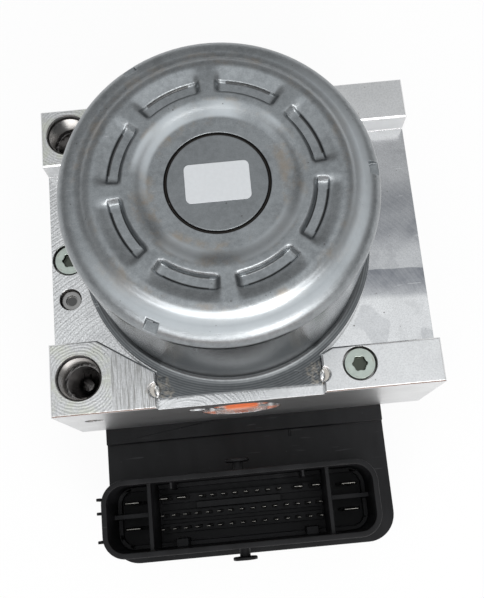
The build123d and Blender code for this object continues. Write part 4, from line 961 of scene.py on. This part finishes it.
class BRAKE_OT_stage(BrakeOperator):
    """Set the floor, the soft studio light and the camera"""
    bl_idname = "brake_module.stage"
    bl_label = "Stage"

    # Place of the camera, and its tilt, roll and turn from straight down in radians
    CAMERA = (0.42, -48.85, 272.8)
    TURNS = (-0.248, 0.001, 0.094)

    # Key lamp: its place, the spot that it lights and its width
    LAMP = (110, -260, 330)
    AIM = (0, 0, 60)
    LAMP_SIZE = 110

    # Strength of the dim sides of the room
    DIM = 0.40

    def execute(self, context):
        settings = context.scene.brake_stage
        context.scene.view_settings.view_transform = "Standard"
        self.camera(context, settings.lens)
        self.floor(settings.floor)
        self.room(context, settings)
        self.key_lamp(context, settings.key)
        return {"FINISHED"}

    def camera(self, context, lens):
        tilt, roll, turn = self.TURNS
        tilted = Matrix.Rotation(turn, 3, "Z") @ Matrix.Rotation(tilt, 3, "X")
        to_camera = tilted @ Matrix.Rotation(roll, 3, "Y")
        data = bpy.data.cameras.new("photo_camera")
        data.lens = lens
        data.sensor_width = 36.0
        data.clip_start = 0.01
        camera = bpy.data.objects.new("photo_camera", data)
        camera.matrix_world = Matrix.Translation(place(*self.CAMERA)) @ to_camera.transposed().to_4x4()
        context.scene.collection.objects.link(camera)
        context.scene.camera = camera

    def floor(self, colour):
        bm = bmesh.new()
        bmesh.ops.create_grid(bm, x_segments=1, y_segments=1, size=4.0)
        floor = make_object("floor", bm)
        f = Finish("pale_floor")
        camera = f.node("ShaderNodeLightPath", output="Is Camera Ray")
        glossy = f.node("ShaderNodeLightPath", output="Is Glossy Ray")
        through = f.node("ShaderNodeLightPath", output="Is Transmission Ray")
        matt = f.node("ShaderNodeBsdfDiffuse", None, {"Color": (*colour, 1.0)})
        white = f.node("ShaderNodeEmission", None, {"Color": (1, 1, 1, 1), "Strength": 1.0})
        shown = (camera * 0.92).either(glossy * 0.55).either(through * 0.92)
        f.close(f.node("ShaderNodeMixShader", None, {0: shown, 1: matt, 2: white}))
        floor.data.materials.append(f.material)

    def room(self, context, settings):
        """A soft studio: a pale ceiling, a white panel in front with a warm tone under it, and dim sides."""
        f = Finish("studio", "worlds", "Generated")
        x, y, z = f.axes()
        front = y.falling(-0.55, -0.25)
        middle = abs(x).falling(0.55, 0.85)
        panel = front * middle * z.inside(0.34, 0.56, 0.10)
        warm = front * middle * z.inside(-0.05, 0.16, 0.06)
        ceiling = z.rising(0.55, 0.92)
        near = y.falling(0.23, 0.34)
        above = near * settings.ceiling + (1 - near) * settings.ceiling * 0.60
        strength = self.DIM + ceiling * (above - self.DIM) + panel * (settings.panel - self.DIM)
        tone = f.blend(warm, (1.0, 1.0, 1.0), (1.0, 0.60, 0.46))
        tone = f.blend(ceiling * 0.7, tone, (0.95, 0.98, 1.0))
        seen = f.node("ShaderNodeLightPath", output="Is Camera Ray")
        light = f.node("ShaderNodeBackground", None, {"Color": tone, "Strength": strength})
        white = f.node("ShaderNodeBackground", None, {"Color": (1, 1, 1, 1), "Strength": 1.0})
        f.close(f.node("ShaderNodeMixShader", None, {0: seen, 1: light, 2: white}), "ShaderNodeOutputWorld")
        context.scene.world = f.material

    def key_lamp(self, context, power):
        data = bpy.data.lights.new("key_lamp", "AREA")
        data.size = self.LAMP_SIZE * MM
        data.energy = power
        data.color = (1.0, 0.98, 0.95)
        lamp = bpy.data.objects.new("key_lamp", data)
        direction = (Vector(self.AIM) - Vector(self.LAMP)).normalized()
        turned = direction.to_track_quat("-Z", "Y").to_matrix().to_4x4()
        lamp.matrix_world = Matrix.Translation(place(*self.LAMP)) @ turned
        context.scene.collection.objects.link(lamp)


PIECES = (BRAKE_OT_inner_parts, BRAKE_OT_motor_can, BRAKE_OT_block, BRAKE_OT_threads, BRAKE_OT_fasteners,
          BRAKE_OT_controller, BRAKE_OT_terminals, BRAKE_OT_springs, BRAKE_OT_stage)
SETTINGS = (("brake_can", BRAKE_PG_can), ("brake_block", BRAKE_PG_block),
            ("brake_controller", BRAKE_PG_controller), ("brake_stage", BRAKE_PG_stage))


class BRAKE_PT_panel(bpy.types.Panel):
    """Lists the operators and their settings"""
    bl_idname = "BRAKE_PT_panel"
    bl_label = "Brake Module"
    bl_space_type = "VIEW_3D"
    bl_region_type = "UI"
    bl_category = "Brake Module"

    def draw(self, context):
        for name, group in SETTINGS:
            box = self.layout.box()
            for key in group.__annotations__:
                box.prop(getattr(context.scene, name), key)
        for piece in PIECES:
            self.layout.operator(piece.bl_idname)


def register():
    for name, group in SETTINGS:
        bpy.utils.register_class(group)
        setattr(bpy.types.Scene, name, PointerProperty(type=group))
    for piece in PIECES:
        bpy.utils.register_class(piece)
    bpy.utils.register_class(BRAKE_PT_panel)


def unregister():
    bpy.utils.unregister_class(BRAKE_PT_panel)
    for piece in reversed(PIECES):
        bpy.utils.unregister_class(piece)
    for name, group in reversed(SETTINGS):
        delattr(bpy.types.Scene, name)
        bpy.utils.unregister_class(group)


def main():
    register()
    for piece in PIECES:
        family, action = piece.bl_idname.split(".")
        getattr(getattr(bpy.ops, family), action)()


if __name__ == "__main__":
    main()
